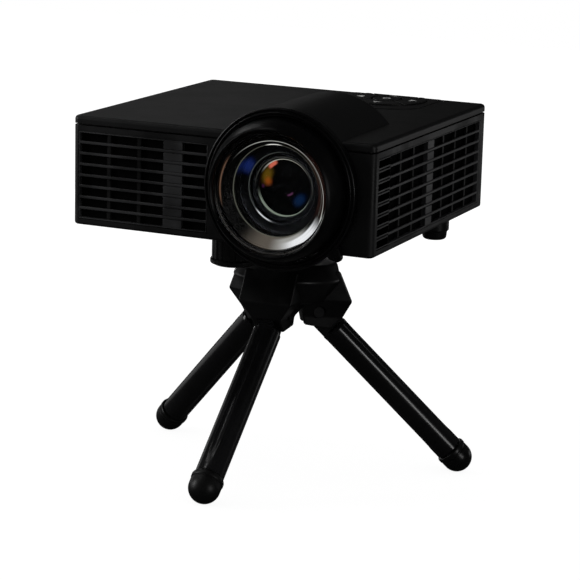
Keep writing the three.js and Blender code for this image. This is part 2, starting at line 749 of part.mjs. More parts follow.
function rearPanel() {
  const inset = gap.snug;
  const plate = place(block(panelWidth - 2 * inset, ports.panelThickness, ports.panelHeight - 2 * inset),
    0, housing.depth - ports.panelThickness / 2 - inset, ports.panelBottom + inset);
  const at = housing.depth;
  const through = 4 * ports.panelThickness;
  const grown = (port) => ({ ...port, width: port.width + 2 * gap.snug, height: port.height + 2 * gap.snug });
  return cut(
    plate,
    ...[ports.hdmi, ports.usb].map((port) => place(sidePort(grown(port), through), 0, at, 0)),
    ...[ports.audio, ports.power, ports.window].map((port) => place(
      rod(port.radius + gap.snug, through, facets.small), portX(port), at - through / 2, port.z,
    )),
    ...rearSlots().map((slot) => place(slot, 0, at, 0)),
  );
}

function rearSlots() {
  return Array.from({ length: rearVents.count }, (_, i) => place(
    block(rearVents.width, 4 * ports.panelThickness, rearVents.height),
    portX(rearVents) + i * rearVents.pitch, 0,
    ports.panelBottom + ports.panelHeight - rearVents.height - rearVents.above,
  ));
}

// A metal-shelled socket, open at the back of the projector, with the tongue that carries its contacts
function tongueSocket(port) {
  const bore = { ...port, width: port.width - 2 * socket.wall, height: port.height - 2 * socket.wall };
  const shell = cut(sidePort(port, socket.depth), place(sidePort(bore, socket.depth), 0, socket.wall * 2, 0));
  const tongue = place(
    block(port.width * socket.tongueShare, socket.depth - socket.wall * 4, socket.tongue),
    portX(port), -socket.wall, port.z - socket.tongue / 2,
  );
  const underside = port.z - port.height / 2;
  const foot = place(
    block(
      port.width * socket.footShare, socket.depth - 2 * ports.panelThickness,
      underside + socket.wall / 2 - socket.boardTop,
    ),
    portX(port), -ports.panelThickness, socket.boardTop,
  );
  return join(shell, tongue, foot);
}

function roundJack(port, pin) {
  const size = 2 * port.radius;
  const x = portX(port);
  const start = -socket.depth / 2;
  const body = place(
    block(size, socket.depth - socket.wall * 2, port.z + port.radius - socket.boardTop),
    x, -socket.wall * 2, socket.boardTop,
  );
  const nose = place(rod(port.radius, socket.depth), x, start, port.z);
  const bore = place(rod(port.bore, socket.depth), x, start + socket.wall * 2, port.z);
  const hollow = cut(join(body, nose), bore);
  if (!pin) return hollow;
  const contact = rod(pin, socket.depth - socket.wall * 3, facets.tiny);
  return join(hollow, place(contact, x, start + socket.wall, port.z));
}

function heatSink() {
  const base = block(sinkWidth, sink.base, sinkHeight);
  const fins = Array.from({ length: sink.fins }, (_, i) => {
    const pitch = (sinkWidth - sink.fin) / (sink.fins - 1);
    const x = -sinkWidth / 2 + sink.fin / 2 + i * pitch;
    return place(block(sink.fin, sink.depth, sinkHeight), x, -sink.depth / 2, 0);
  });
  return join(base, ...fins);
}

function fanFrame() {
  const half = fanSize / 2;
  const outline = roundedOutline(-half, half, -half, half, fan.cornerRound);
  const bore = new THREE.Path();
  bore.absarc(0, 0, fanDuct, 0, 2 * Math.PI, true);
  outline.holes.push(bore);
  const inset = half - fan.cornerHole * 2;
  for (const [x, y] of [[-inset, -inset], [inset, -inset], [inset, inset], [-inset, inset]]) {
    const hole = new THREE.Path();
    hole.absarc(x, y, fan.cornerHole, 0, 2 * Math.PI, true);
    outline.holes.push(hole);
  }
  const ring = slab(outline, fan.thickness, facets.sphere);
  const motor = post(fan.hub, fan.spoke, facets.small);
  const reach = fanDuct + fan.cornerHole / 2;
  const spokes = [0, 1, 2].map((i) => block(reach, fan.spoke, fan.spoke / 2)
    .translate(reach / 2, 0, 0).rotateZ((2 * Math.PI * i) / 3));
  const axle = post(fan.axle, fan.thickness - fan.spoke, facets.tiny);
  return join(ring, motor, ...spokes, axle);
}

function fanRotor() {
  const height = fan.thickness - fan.spoke - 2 * gap.running - gap.snug;
  const bore = fan.axle + gap.snug;
  const shoulder = height - fan.spoke / 2;
  const cap = turned([
    [bore, 0], [fan.hub, 0], [fan.hub, shoulder], [fan.hub - fan.spoke / 2, height], [0, height],
    [0, shoulder], [bore, shoulder], [bore, 0],
  ], facets.small);
  const span = fanTip - fan.hub / 2;
  const blades = Array.from({ length: fan.blades }, (_, i) => block(span, fan.blade, height * fan.bladeShare)
    .rotateX(THREE.MathUtils.degToRad(fan.sweep))
    .translate(fan.hub / 2 + span / 2, 0, (height * (1 - fan.bladeShare)) / 2)
    .rotateZ((2 * Math.PI * i) / fan.blades));
  const keep = post(fanTip, height);
  return cut(join(cap, common(join(...blades), keep)), post(bore, shoulder, facets.tiny));
}

// Projector

const projector = new THREE.Group();

function addHousing(parent) {
  piece(parent, "bottom_case", bottomCase(), finishes.shell);
  piece(parent, "top_cover", topCover(), finishes.shell);
  piece(parent, "front_grille", frontGrille(), finishes.grille);
  piece(parent, "right_grille", sideGrille(), finishes.grille, [halfWidth, 0, 0]);
  piece(parent, "left_grille", weld(sideGrille()).scale(-1, 1, 1), finishes.grille, [-halfWidth, 0, 0]);
  piece(parent, "rear_panel", rearPanel(), finishes.shell);
  const screw = join(
    post(bosses.headRadius, bosses.headHeight),
    post(bosses.screwRadius, caseTop + bosses.thread - gap.running, facets.tiny),
  );
  const names = ["left_front", "left_rear", "right_front", "right_rear"];
  bossPlaces.forEach(([x, y], i) => {
    piece(parent, `case_screw_${names[i]}`, screw, finishes.steel, [x, y, 0]);
  });
}

function addKeys(parent) {
  piece(parent, "keypad_bezel", keypadBezel(), finishes.gloss);
  const centre = [padX, padY, 0];
  for (const [name, turn] of Object.entries(keyTurns)) {
    piece(parent, name, withRim(directionKey(turn, 0), directionKey(turn, gap.snug)), finishes.key, centre);
  }
  const enter = place(post(keypad.centreRadius, keypad.keyDepth, facets.medium), 0, 0, keyBottom);
  piece(parent, "key_enter", enter, finishes.key, centre);
  const at = (x, y) => [padX + x, padY + y, 0];
  piece(parent, "key_power", roundKey(keypad.powerRadius), finishes.key, at(keypad.powerX, keypad.powerY));
  const margin = 2 * keypad.boardMargin;
  const plate = block(
    2 * keypad.halfWidth + margin, keypad.back + keypad.front - margin / 2, keypad.boardThickness,
  );
  piece(parent, "key_board", plate, finishes.board, [
    padX, padY + (keypad.back - keypad.front) / 2, keyBoardTop - keypad.boardThickness,
  ]);
}

function addLens(parent) {
  const optics = new THREE.Group();
  optics.position.set(lensX, 0, lens.axisZ);
  parent.add(optics);
  piece(optics, "focus_ring", focusRing(), finishes.gloss);
  piece(optics, "lens_nose", lensNose(), finishes.gloss);
  const edge = lens.glassEdge;
  const front = element(lens.rimBore - gap.running, edge, lens.glassDome, lens.glassDome / 2);
  piece(optics, "front_lens", front, finishes.glass, [0, -lens.seatDepth - gap.running, 0]);
  piece(optics, "reflector_cone", coneRing(), finishes.silver);
  piece(optics, "lens_tube", lensTube(), finishes.black_metal);
  const middle = element(lens.tubeBore - gap.running, edge, edge / 2, edge / 2, facets.medium);
  piece(optics, "middle_lens", middle, finishes.glass, [0, lens.middleBoreStart - gap.snug, 0]);
  const seat = lens.rearBoreStart - gap.snug;
  const inner = element(lens.middleBore - gap.running, lens.innerEdge, edge, edge / 2, facets.medium);
  piece(optics, "inner_lens", inner, finishes.glass, [0, seat, 0]);
  const ring = retainer(lens.rearBore - gap.running, lens.middleBore - gap.running, edge, 2 * gap.running);
  piece(optics, "aperture_ring", ring, finishes.silver, [0, seat - lens.innerEdge - edge - 2 * gap.running, 0]);
}

function addInside(parent) {
  const boardShape = block(boardWidth, boardBack - boardFront, board.thickness)
    .translate(0, (boardBack + boardFront) / 2, 0);
  const boardHoles = posts(screwPlaces, board.screw + gap.snug, housing.height, -gap.overrun, facets.tiny);
  piece(parent, "main_board", cut(boardShape, ...boardHoles), finishes.board, [0, 0, board.bottom]);
  const shank = board.thickness * 3;
  const boardScrew = join(
    post(board.screw, shank, facets.tiny),
    place(post(2 * board.screw, board.screw, facets.tiny), 0, 0, shank),
  );
  screwPlaces.forEach(([x, y], i) => piece(
    parent, `board_screw_${["left", "right"][i]}`, boardScrew, finishes.steel,
    [x, y, board.bottom + board.thickness + gap.snug - shank],
  ));
  const behind = housing.depth - gap.running - socket.depth / 2;
  piece(parent, "hdmi_socket", tongueSocket(ports.hdmi), finishes.steel, [0, behind, 0]);
  piece(parent, "usb_socket", tongueSocket(ports.usb), finishes.steel, [0, behind, 0]);
  piece(parent, "audio_jack", roundJack(ports.audio, 0), finishes.gloss, [0, behind, 0]);
  piece(parent, "power_jack", roundJack(ports.power, ports.power.pin), finishes.gloss, [0, behind, 0]);
  piece(parent, "remote_window", rod(ports.window.radius, ports.panelThickness, facets.small), finishes.gloss,
    [portX(ports.window), housing.depth - ports.panelThickness - gap.snug, ports.window.z]);
  const engineShape = softSlab(roundedOutline(
    lensX - engine.width / 2, lensX + engine.width / 2, engineFront, engineFront + engineDepth,
    engine.cornerRadius,
  ), engineHeight, engine.cornerRadius / 3);
  piece(parent, "optical_engine", engineShape, finishes.aluminium, [0, 0, engine.bottom]);
  const chip = block(engine.chipWidth, engine.chipThickness, engine.chipHeight);
  const chipY = engineFront + engineDepth + gap.snug + engine.chipThickness / 2;
  piece(parent, "imaging_chip", chip, finishes.board, [lensX, chipY, engine.bottom + engine.chipRaise]);
  const floor = housing.wall + gap.snug;
  piece(parent, "heat_sink", heatSink(), finishes.aluminium, [sinkX, sink.y, floor]);
  const frame = fanFrame().rotateX(Math.PI / 2).rotateZ(Math.PI / 2);
  const fanPlace = [fanX - fan.thickness / 2, fan.y, floor + fanSize / 2];
  piece(parent, "fan_frame", frame, finishes.gloss, fanPlace);
  piece(parent, "fan_rotor", fanRotor().rotateX(Math.PI / 2).rotateZ(Math.PI / 2), finishes.gloss,
    [fanPlace[0] + fan.spoke + gap.running, fan.y, fanPlace[2]]);
}

function addFeet(parent) {
  const grip = frontFoot.height - frontFoot.flangeHeight;
  const ribbed = slab(ribbedOutline(frontFoot.radius, frontFoot.ribs, frontFoot.ribDepth), grip, 1);
  const flange = turned([
    [0, -frontFoot.flangeHeight], [frontFoot.soleRadius, -frontFoot.flangeHeight],
    [frontFoot.flangeRadius, -frontFoot.flangeHeight + frontFoot.soleHeight], [frontFoot.flangeRadius, 0],
    [frontFoot.radius / 2, gap.snug], [0, gap.snug],
  ], facets.medium);
  const sole = frontFoot.soleHeight + gap.running;
  const well = place(
    post(frontFoot.stemRadius + gap.running, frontFoot.height),
    0, 0, sole - gap.running - frontFoot.flangeHeight,
  );
  const knobBottom = -gap.running - grip;
  const knob = cut(join(ribbed, flange), well);
  piece(parent, "front_foot_knob", knob, finishes.rubber, [frontFootX, frontFoot.y, knobBottom]);
  const stemBottom = knobBottom - frontFoot.flangeHeight + sole;
  const stem = post(frontFoot.stemRadius, frontFoot.stemReach - stemBottom);
  piece(parent, "front_foot_stem", stem, finishes.steel, [frontFootX, frontFoot.y, stemBottom]);
  for (const [name, side] of [["rear_foot_left", -1], ["rear_foot_right", 1]]) {
    const step = -rearFoot.height + rearFoot.sole;
    const foot = turned([
      [0, rearFoot.pegLength], [rearFoot.pegRadius, rearFoot.pegLength], [rearFoot.pegRadius, -gap.snug],
      [rearFoot.radius, -gap.snug], [rearFoot.radius, step], [rearFoot.neckRadius, step - gap.running],
      [rearFoot.neckRadius * rearFoot.soleTaperShare, step - rearFoot.sole * rearFoot.soleShare],
      [rearFoot.neckRadius * rearFoot.soleShare, -rearFoot.height],
      [0, -rearFoot.height],
    ], facets.small);
    piece(parent, name, foot, finishes.rubber, [side * rearFootX, rearFootY, 0]);
  }
  const ring = ringProfile(bush.bore, bush.radius, 0, bush.height - housing.wall);
  const seat = housing.wall + gap.snug;
  piece(parent, "tripod_bush", turned(ring, facets.medium), finishes.brass, [bush.x, bushY, seat]);
}

// What sits between the projector and the ball: heights are measured from the projector's underside
function addPlatform(parent) {
  const padTopFace = -gap.snug;
  const platformTop = padTopFace - head.padThickness - gap.snug;
  const bottom = platformTop - head.platformThickness;
  const half = platformTop - head.platformThickness / 2;
  const platform = turned([
    [0, -head.ballDrop], [head.neckRadius, -head.ballDrop], [head.neckRadius, bottom],
    [head.platformRadius * head.platformWaistShare, bottom],
    [head.platformRadius, bottom + head.platformThickness / 3],
    [head.platformRadius, platformTop], [0, platformTop],
  ], facets.medium);
  const screwWell = place(post(head.screwRadius + gap.snug, head.platformThickness), 0, 0, half - gap.snug);
  const ballRoom = new THREE.SphereGeometry(head.ballRadius + gap.running, facets.medium, facets.sphere)
    .translate(0, 0, -head.ballDrop);
  const position = [bush.x, bushY, 0];
  piece(parent, "tripod_platform", cut(platform, screwWell, ballRoom), finishes.black_metal, position);
  const pad = ringProfile(
    head.screwRadius + gap.running, head.padRadius, padTopFace - head.padThickness, padTopFace,
  );
  piece(parent, "platform_pad", turned(pad, facets.medium), finishes.rubber, position);
  piece(parent, "tripod_screw", turned([
    [0, half], [head.screwRadius, half], [head.screwRadius, head.screwLength - gap.running],
    [head.screwRadius - gap.running, head.screwLength], [0, head.screwLength],
  ], facets.small), finishes.steel, position);
}

addHousing(projector);
addKeys(projector);
addLens(projector);
addInside(projector);
addFeet(projector);
addPlatform(projector);

// Tripod

const tripod = new THREE.Group();
const legNames = ["front", "right", "left"];
const legTurns = legNames.map((_, i) => (i * 2 * Math.PI) / legNames.length);
const legTilt = Math.PI - legSpread;

function radialProfile(points, width) {
  const outline = new THREE.Shape(points.map(([r, z]) => new THREE.Vector2(r, z)));
  return slab(outline, width, 1).translate(0, 0, -width / 2).rotateX(Math.PI / 2);
}

// An arm of the hub seen from the side, and from the front
function hubArm() {
  const side = radialProfile([
    [0, armTop], [hub.armTopReach, armTop], [hub.armReach, armShoulder],
    [hub.armBottomReach, armBottom], [hub.armBottomInner, armBottom],
    [hub.pivotReach - leg.knuckleRadius, pivotHeight - leg.knuckleRadius], [0, hubBottom],
  ], hub.armWidth);
  const half = hub.armWidth / 2;
  const toe = hub.armToe / 2;
  const front = new THREE.Shape();
  front.moveTo(-half, armTop + gap.overrun);
  front.lineTo(-half, armShoulder);
  front.lineTo(-toe, armToeHeight);
  front.lineTo(-toe, armBottom - gap.overrun);
  front.lineTo(toe, armBottom - gap.overrun);
  front.lineTo(toe, armToeHeight);
  front.lineTo(half, armShoulder);
  front.lineTo(half, armTop + gap.overrun);
  front.closePath();
  const view = slab(front, 3 * hub.armReach, 1).rotateX(Math.PI / 2).rotateZ(Math.PI / 2)
    .translate(-hub.armReach, 0, 0);
  return common(side, view);
}

// What is planed off the drum so that its side is flat above each arm
function drumFlat() {
  const beyond = 2 * hub.rimRadius;
  return radialProfile([
    [hub.armTopReach, hubTop + gap.overrun], [hub.armTopReach, armTop], [hub.armReach, armShoulder],
    [beyond, armShoulder], [beyond, hubTop + gap.overrun],
  ], 2 * hub.rimRadius);
}

// The room that a leg's tongue sweeps, from spread to folded, with its stop against the arm's front wall
function legSlot() {
  const reach = leg.shoulder + gap.overrun;
  const room = leg.knuckleRadius + gap.running;
  const along = [Math.sin(legSpread), -Math.cos(legSpread)];
  const across = [Math.cos(legSpread), Math.sin(legSpread)];
  const swept = [
    ...arcPoints(room, legSpread, Math.PI, 5),
    [-room, -2 * reach],
    [along[0] * 2 * reach + across[0] * room, along[1] * 2 * reach + across[1] * room],
  ];
  return radialProfile(swept.map(([r, z]) => [hub.pivotReach + r, pivotHeight + z]), slotWidth);
}

function hubBody() {
  const rim = gap.running;
  const drum = turned([
    [0, hubBottom], [hub.bottomRadius, hubBottom], [hub.rimRadius - rim, hubRim - 2 * rim],
    [hub.rimRadius, hubRim], [hub.rimRadius - rim, hubRim + 2 * rim], [hub.topRadius, hubTop - 2 * rim],
    [hub.topRadius - 2 * rim, hubTop], [0, hubTop],
  ]);
  const around = (geometry) => legTurns.map((turn) => geometry.clone().rotateZ(turn));
  const span = pinSpan();
  const head = hub.pinHead + gap.snug;
  const pivot = place(
    post(headPivotRoom, hub.socketDepth + gap.overrun, facets.medium), 0, 0, hubTop - hub.socketDepth,
  );
  return cut(
    join(cut(drum, ...around(drumFlat())), ...around(hubArm())),
    ...around(legSlot()), ...around(pinRod(pinBore, hub.armWidth + gap.overrun, 0)),
    ...around(pinRod(head, hub.armWidth, span)), ...around(pinRod(head, hub.armWidth, -span)), pivot,
  );
}

const headPivotRoom = head.pivotRadius + gap.running;

// Half of the pin's length between its heads, which sit in the arm's sides
function pinSpan() {
  const share = (pivotHeight - armToeHeight) / (armShoulder - armToeHeight);
  return hub.armToe / 2 + ((hub.armWidth - hub.armToe) / 2) * share - hub.pinHeadDepth - gap.running;
}

// A rod across the arm at the leg's pivot, centred, or from the given offset outwards
function pinRod(radius, length, offset) {
  const start = offset === 0 ? -length / 2 : Math.min(offset, offset + Math.sign(offset) * length);
  return place(rod(radius, length, facets.small), hub.pivotReach, start, pivotHeight);
}

function legPin() {
  const span = pinSpan();
  const head1 = pinRod(hub.pinHead, hub.pinHeadDepth, span + gap.snug);
  const head2 = pinRod(hub.pinHead, hub.pinHeadDepth, -span - gap.snug);
  return join(pinRod(hub.pinRadius, 2 * (span + gap.running), 0), head1, head2);
}

// A leg along +z from its pivot at the origin, with its pin along y
function legTube() {
  const outline = new THREE.Shape();
  const flute = Math.asin(leg.fluteWidth / 2 / leg.radius);
  const inner = leg.radius - leg.flute;
  for (const side of [0, Math.PI]) {
    const from = side + flute;
    const to = side + Math.PI - flute;
    outline.absarc(0, 0, leg.radius, from, to);
    for (const angle of [to + flute / 3, to + (5 * flute) / 3]) {
      outline.lineTo(inner * Math.cos(angle), inner * Math.sin(angle));
    }
  }
  outline.closePath();
  const end = leg.length - leg.footLength + leg.footRadius;
  const tube = place(slab(outline, end - leg.shoulder, facets.tiny), 0, 0, leg.shoulder);
  const plug = place(post(leg.footPlug, leg.footLength / 2, facets.small), 0, 0, end - gap.overrun);
  const half = leg.knuckleRadius;
  const tongueOutline = new THREE.Shape();
  tongueOutline.absarc(0, 0, half, Math.PI, 2 * Math.PI);
  tongueOutline.lineTo(half, leg.shoulder + gap.overrun);
  tongueOutline.lineTo(-half, leg.shoulder + gap.overrun);
  tongueOutline.closePath();
  const tongue = slab(tongueOutline, leg.tongue, facets.tiny)
    .translate(0, 0, -leg.tongue / 2).rotateX(Math.PI / 2);
  const across = leg.tongue + gap.overrun;
  const bore = place(rod(pinBore, across), 0, -across / 2, 0);
  return cut(join(tube, plug, tongue), bore);
}

// The rubber foot: a thimble with a round end, cut flat where it meets the table
function rubberFoot() {
  const top = leg.length - leg.footLength + leg.footRadius + gap.running;
  const rib = leg.footRadius - leg.radius;
  const bore = leg.footPlug + gap.running;
  const thimble = turned([
    [bore, top], [leg.footRadius - rib / 2, top], [leg.footRadius, top + rib / 2],
    ...arcPoints(leg.footRadius, 0, Math.PI / 2, 4, 0, leg.length),
    [0, top + leg.footLength / 2], [bore, top + leg.footLength / 2], [bore, top],
  ], facets.medium);
  const flat = leg.length + leg.footRadius - leg.footFlat;
  const table = block(4 * leg.footRadius, 4 * leg.footRadius, leg.footRadius)
    .translate(0, 0, leg.footRadius - leg.footFlat).rotateY(legSpread).translate(0, 0, leg.length);
  return flat > 0 ? cut(thimble, table) : thimble;
}

function addTripod(parent) {
  piece(parent, "tripod_hub", hubBody(), finishes.stand);
  legNames.forEach((name, i) => {
    const arm = new THREE.Group();
    arm.rotation.z = legTurns[i];
    parent.add(arm);
    piece(arm, `leg_pin_${name}`, legPin(), finishes.steel);
    const pivot = new THREE.Group();
    pivot.name = `pivot_${name}`;
    pivot.position.set(hub.pivotReach, 0, pivotHeight);
    pivot.rotation.y = legTilt;
    arm.add(pivot);
    piece(pivot, `leg_${name}`, legTube(), finishes.stand);
    piece(pivot, `rubber_foot_${name}`, rubberFoot(), finishes.rubber);
  });
  const flangeTop = hubTop + gap.running + head.flange;
  const lip = ballHeight + head.cupLip;
  const cup = cut(
    turned([
      [0, hubTop - head.pivotLength], [head.pivotRadius, hubTop - head.pivotLength],
      [head.pivotRadius, hubTop + gap.running], [collarRadius, hubTop + gap.running],
      [collarRadius, flangeTop], [cupRadius, flangeTop], [cupRadius, lip - head.cupLipRound],
      [cupRadius - head.cupLipRound, lip], [0, lip],
    ], facets.medium),
    new THREE.SphereGeometry(head.ballRadius + gap.running, facets.medium, facets.sphere)
      .translate(0, 0, ballHeight),
  );
  piece(parent, "ball_cup", cup, finishes.stand);
  const collarBottom = flangeTop + gap.running;
  const collar = cut(
    slab(ribbedOutline(collarRadius, head.ribs, head.ribDepth), lip - head.collarLip - collarBottom, 1),
    place(post(cupRadius + gap.running, 2 * lip, facets.medium), 0, 0, -lip),
  );
  piece(parent, "lock_collar", collar, finishes.stand, [0, 0, collarBottom]);
}

addTripod(tripod);

// Assembly: the tripod's front leg points along -y, the projector is tipped and panned on the ball

const onBall = new THREE.Group();
onBall.position.z = ballHeight;
onBall.rotation.x = THREE.MathUtils.degToRad(head.pitch);
projector.position.set(-bush.x, -bushY, head.ballDrop);
onBall.add(projector);
const ball = new THREE.SphereGeometry(head.ballRadius, facets.medium, facets.sphere);
piece(onBall, "ball", ball, finishes.steel);

tripod.rotation.z = -Math.PI / 2 + THREE.MathUtils.degToRad(head.pan);

const whole = new THREE.Group();
whole.add(onBall, tripod);
whole.updateMatrixWorld(true);
const bounds = new THREE.Box3().setFromObject(whole, true);
const middle = bounds.getCenter(new THREE.Vector3());
whole.position.set(-middle.x, -middle.y, -bounds.min.z);
whole.updateMatrixWorld(true);

export default whole;
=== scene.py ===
"""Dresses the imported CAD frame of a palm-size video projector on its folding mini tripod."""
import sys
import functools
import logging
import math
from dataclasses import dataclass
from enum import Enum
from typing import Callable, Sequence

import bmesh
import bpy
from mathutils import Matrix, Vector


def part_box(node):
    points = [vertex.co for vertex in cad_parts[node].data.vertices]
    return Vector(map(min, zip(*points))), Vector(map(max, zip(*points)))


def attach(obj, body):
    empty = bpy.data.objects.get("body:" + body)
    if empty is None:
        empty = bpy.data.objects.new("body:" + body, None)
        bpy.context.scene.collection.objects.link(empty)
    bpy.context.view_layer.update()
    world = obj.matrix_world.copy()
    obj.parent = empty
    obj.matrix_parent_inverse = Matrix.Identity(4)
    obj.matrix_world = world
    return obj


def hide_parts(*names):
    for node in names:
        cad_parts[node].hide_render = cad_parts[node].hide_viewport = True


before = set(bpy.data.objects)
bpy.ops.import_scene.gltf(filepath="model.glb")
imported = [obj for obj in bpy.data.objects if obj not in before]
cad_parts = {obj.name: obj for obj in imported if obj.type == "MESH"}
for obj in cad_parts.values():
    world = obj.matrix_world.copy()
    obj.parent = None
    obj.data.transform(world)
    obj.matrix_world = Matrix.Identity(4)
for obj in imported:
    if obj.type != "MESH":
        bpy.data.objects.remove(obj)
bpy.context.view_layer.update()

LOG = logging.getLogger("dressing")
MM = 0.001
BEVEL = {"profile": 0.5, "affect": "EDGES", "material": -1}
Pair = tuple[float, float]
Profile = list[Pair]
Point = tuple[float, float, float]
Tint = tuple[int, int, int]
Light = tuple[float, float, float, float]
Socket = bpy.types.NodeSocket


class Join(Enum):
    """The ways in which two solids are combined."""

    UNION = "UNION"
    CUT = "DIFFERENCE"
    COMMON = "INTERSECT"


class Place:
    """The frames that the pieces are drawn in, as matrices from millimetres to the row frame."""

    NOSE_DOWN = math.radians(5)
    LENS_X, LENS_Z = 23.3, 20.4
    PIVOT_X, PIVOT_Z = 11.0, 58.806
    SPREAD = 46.6
    SCALE = Matrix.Scale(MM, 4)
    PROJECTOR = SCALE @ Matrix.Translation((0.776, -45.961, 88.937)) @ Matrix.Rotation(NOSE_DOWN, 4, "X")
    LENS = PROJECTOR @ Matrix.Translation((LENS_X, 0, LENS_Z)) @ Matrix.Rotation(math.radians(90), 4, "X")
    TRIPOD = SCALE @ Matrix.Translation((1.576, 13.618, 0)) @ Matrix.Rotation(math.radians(-87.3), 4, "Z")

    @staticmethod
    def at(frame_matrix: Matrix, x: float = 0, y: float = 0, z: float = 0) -> Matrix:
        """Moves a frame to a point of its own."""
        return frame_matrix @ Matrix.Translation((x, y, z))

    @classmethod
    def arm(cls, number: int) -> Matrix:
        """The tripod's frame turned to one of its three arms."""
        return cls.TRIPOD @ Matrix.Rotation(math.radians(120 * number), 4, "Z")

    @classmethod
    def leg(cls, number: int) -> Matrix:
        """The frame of a leg: its z axis runs from the pin down to the foot."""
        tilt = Matrix.Rotation(math.radians(180 - cls.SPREAD), 4, "Y")
        return cls.arm(number) @ Matrix.Translation((cls.PIVOT_X, 0, cls.PIVOT_Z)) @ tilt


# Meshes


class Sketch:
    """A mesh being shaped, in millimetres of a frame of its own."""

    def __init__(self) -> None:
        """Starts empty."""
        self.bm = bmesh.new()

    def _fresh(self, known: set) -> list:
        """Lists the vertices that weren't there before."""
        return [v for v in self.bm.verts if v not in known]

    def _face_out(self, known: set) -> set:
        """Turns the new faces outwards.

        Args:
            known: The vertices that were there before.

        Returns:
            The new vertices.
        """
        fresh = set(self._fresh(known))
        faces = [f for f in self.bm.faces if f.verts[0] in fresh]
        bmesh.ops.recalc_face_normals(self.bm, faces=faces)
        return fresh

    def block(self, low: Point, high: Point, soften: float = 0, segments: int = 2) -> "Sketch":
        """Adds a box with rounded edges.

        Args:
            low: Its lowest corner.
            high: Its highest corner.
            soften: The radius of its edges.
            segments: The number of faces across an edge.

        Returns:
            The sketch itself.
        """
        size = [b - a for a, b in zip(low, high)]
        verts = bmesh.ops.create_cube(self.bm, size=1)["verts"]
        bmesh.ops.scale(self.bm, vec=size, verts=verts)
        bmesh.ops.translate(self.bm, vec=[(a + b) / 2 for a, b in zip(low, high)], verts=verts)
        if soften:
            edges = list({e for v in verts for e in v.link_edges})
            bmesh.ops.bevel(self.bm, geom=edges, offset=min(soften, min(size) * 0.45), segments=segments,
                            clamp_overlap=True, **BEVEL)
        return self

    def tray(self, low: Point, high: Point, corner: float, top: float, bottom: float) -> "Sketch":
        """Adds a case-like block: upright corners, top edge and bottom edge each have their own radius.

        Args:
            low: Its lowest corner.
            high: Its highest corner.
            corner: The radius of the upright corners.
            top: The radius of the top edge, or 0.
            bottom: The radius of the bottom edge, or 0.

        Returns:
            The sketch itself.
        """
        known = set(self.bm.verts)
        self.block(low, high)
        upright = [e for v in self._fresh(known) for e in v.link_edges
                   if abs(e.verts[0].co.z - e.verts[1].co.z) > 1e-4]
        bmesh.ops.bevel(self.bm, geom=list(set(upright)), offset=corner, segments=6, **BEVEL)
        for radius, height in ((top, high[2]), (bottom, low[2])):
            if radius:
                rim = [e for v in self._fresh(known) for e in v.link_edges
                       if all(abs(w.co.z - height) < 1e-4 for w in e.verts)]
                bmesh.ops.bevel(self.bm, geom=list(set(rim)), offset=radius, segments=5, **BEVEL)
        return self

    def lathe(self, profile: Profile, steps: int = 96, closed: bool = False) -> "Sketch":
        """Spins a profile about the z axis.

        Args:
            profile: Points of radius and height.
            steps: The number of faces round it.
            closed: Whether the last point joins the first, as for a ring.

        Returns:
            The sketch itself.
        """
        known = set(self.bm.verts)
        verts = [self.bm.verts.new((r, 0, z)) for r, z in profile]
        edges = [self.bm.edges.new(pair) for pair in zip(verts, verts[1:])]
        if closed:
            edges.append(self.bm.edges.new((verts[-1], verts[0])))
        bmesh.ops.spin(self.bm, geom=verts + edges, cent=(0, 0, 0), axis=(0, 0, 1), angle=2 * math.pi,
                       steps=steps, use_merge=True)
        bmesh.ops.remove_doubles(self.bm, verts=self._fresh(known), dist=1e-4)
        self._face_out(known)
        return self

    def rod(self, radius: float, low: float, high: float, steps: int = 96) -> "Sketch":
        """Spins a round bar about the z axis, from one height to another."""
        return self.lathe([(0, low), (radius, low), (radius, high), (0, high)], steps)

    def prism(self, points: Profile, width: float, soften: float = 0, segments: int = 2) -> "Sketch":
        """Adds a flat outline of x and z points, given a thickness along y.

        Args:
            points: The outline.
            width: The thickness, half to each side of y = 0.
            soften: The radius of all its edges.
            segments: The number of faces across an edge.

        Returns:
            The sketch itself.
        """
        known = set(self.bm.verts)
        face = self.bm.faces.new([self.bm.verts.new((x, -width / 2, z)) for x, z in points])
        grown = bmesh.ops.extrude_face_region(self.bm, geom=[face])["geom"]
        moved = [g for g in grown if isinstance(g, bmesh.types.BMVert)]
        bmesh.ops.translate(self.bm, vec=(0, width, 0), verts=moved)
        fresh = self._face_out(known)
        if soften:
            edges = [e for e in self.bm.edges if e.verts[0] in fresh and e.calc_face_angle(0) > 0.5]
            bmesh.ops.bevel(self.bm, geom=edges, offset=soften, segments=segments, clamp_overlap=True, **BEVEL)
        return self

    def ball(self, radius: float, centre: Point = (0, 0, 0)) -> "Sketch":
        """Adds a sphere.

        Args:
            radius: Its radius.
            centre: Its centre.

        Returns:
            The sketch itself.
        """
        verts = bmesh.ops.create_uvsphere(self.bm, u_segments=64, v_segments=32, radius=radius)["verts"]
        bmesh.ops.translate(self.bm, vec=centre, verts=verts)
        return self

    def pinch(self, rule: Callable[[float, float, float], float]) -> "Sketch":
        """Moves every vertex towards or away from the z axis.

        Args:
            rule: Gives the new radius for an angle, a radius and a height.

        Returns:
            The sketch itself.
        """
        for vert in self.bm.verts:
            radius = math.hypot(vert.co.x, vert.co.y)
            if radius > 1e-6:
                scale = rule(math.atan2(vert.co.y, vert.co.x), radius, vert.co.z) / radius
                vert.co.x *= scale
                vert.co.y *= scale
        return self

    def turn(self, degrees: float, axis: str) -> "Sketch":
        """Turns everything about an axis through the origin."""
        bmesh.ops.rotate(self.bm, matrix=Matrix.Rotation(math.radians(degrees), 3, axis), verts=self.bm.verts)
        return self

    def move(self, x: float = 0, y: float = 0, z: float = 0) -> "Sketch":
        """Moves everything."""
        bmesh.ops.translate(self.bm, vec=(x, y, z), verts=self.bm.verts)
        return self

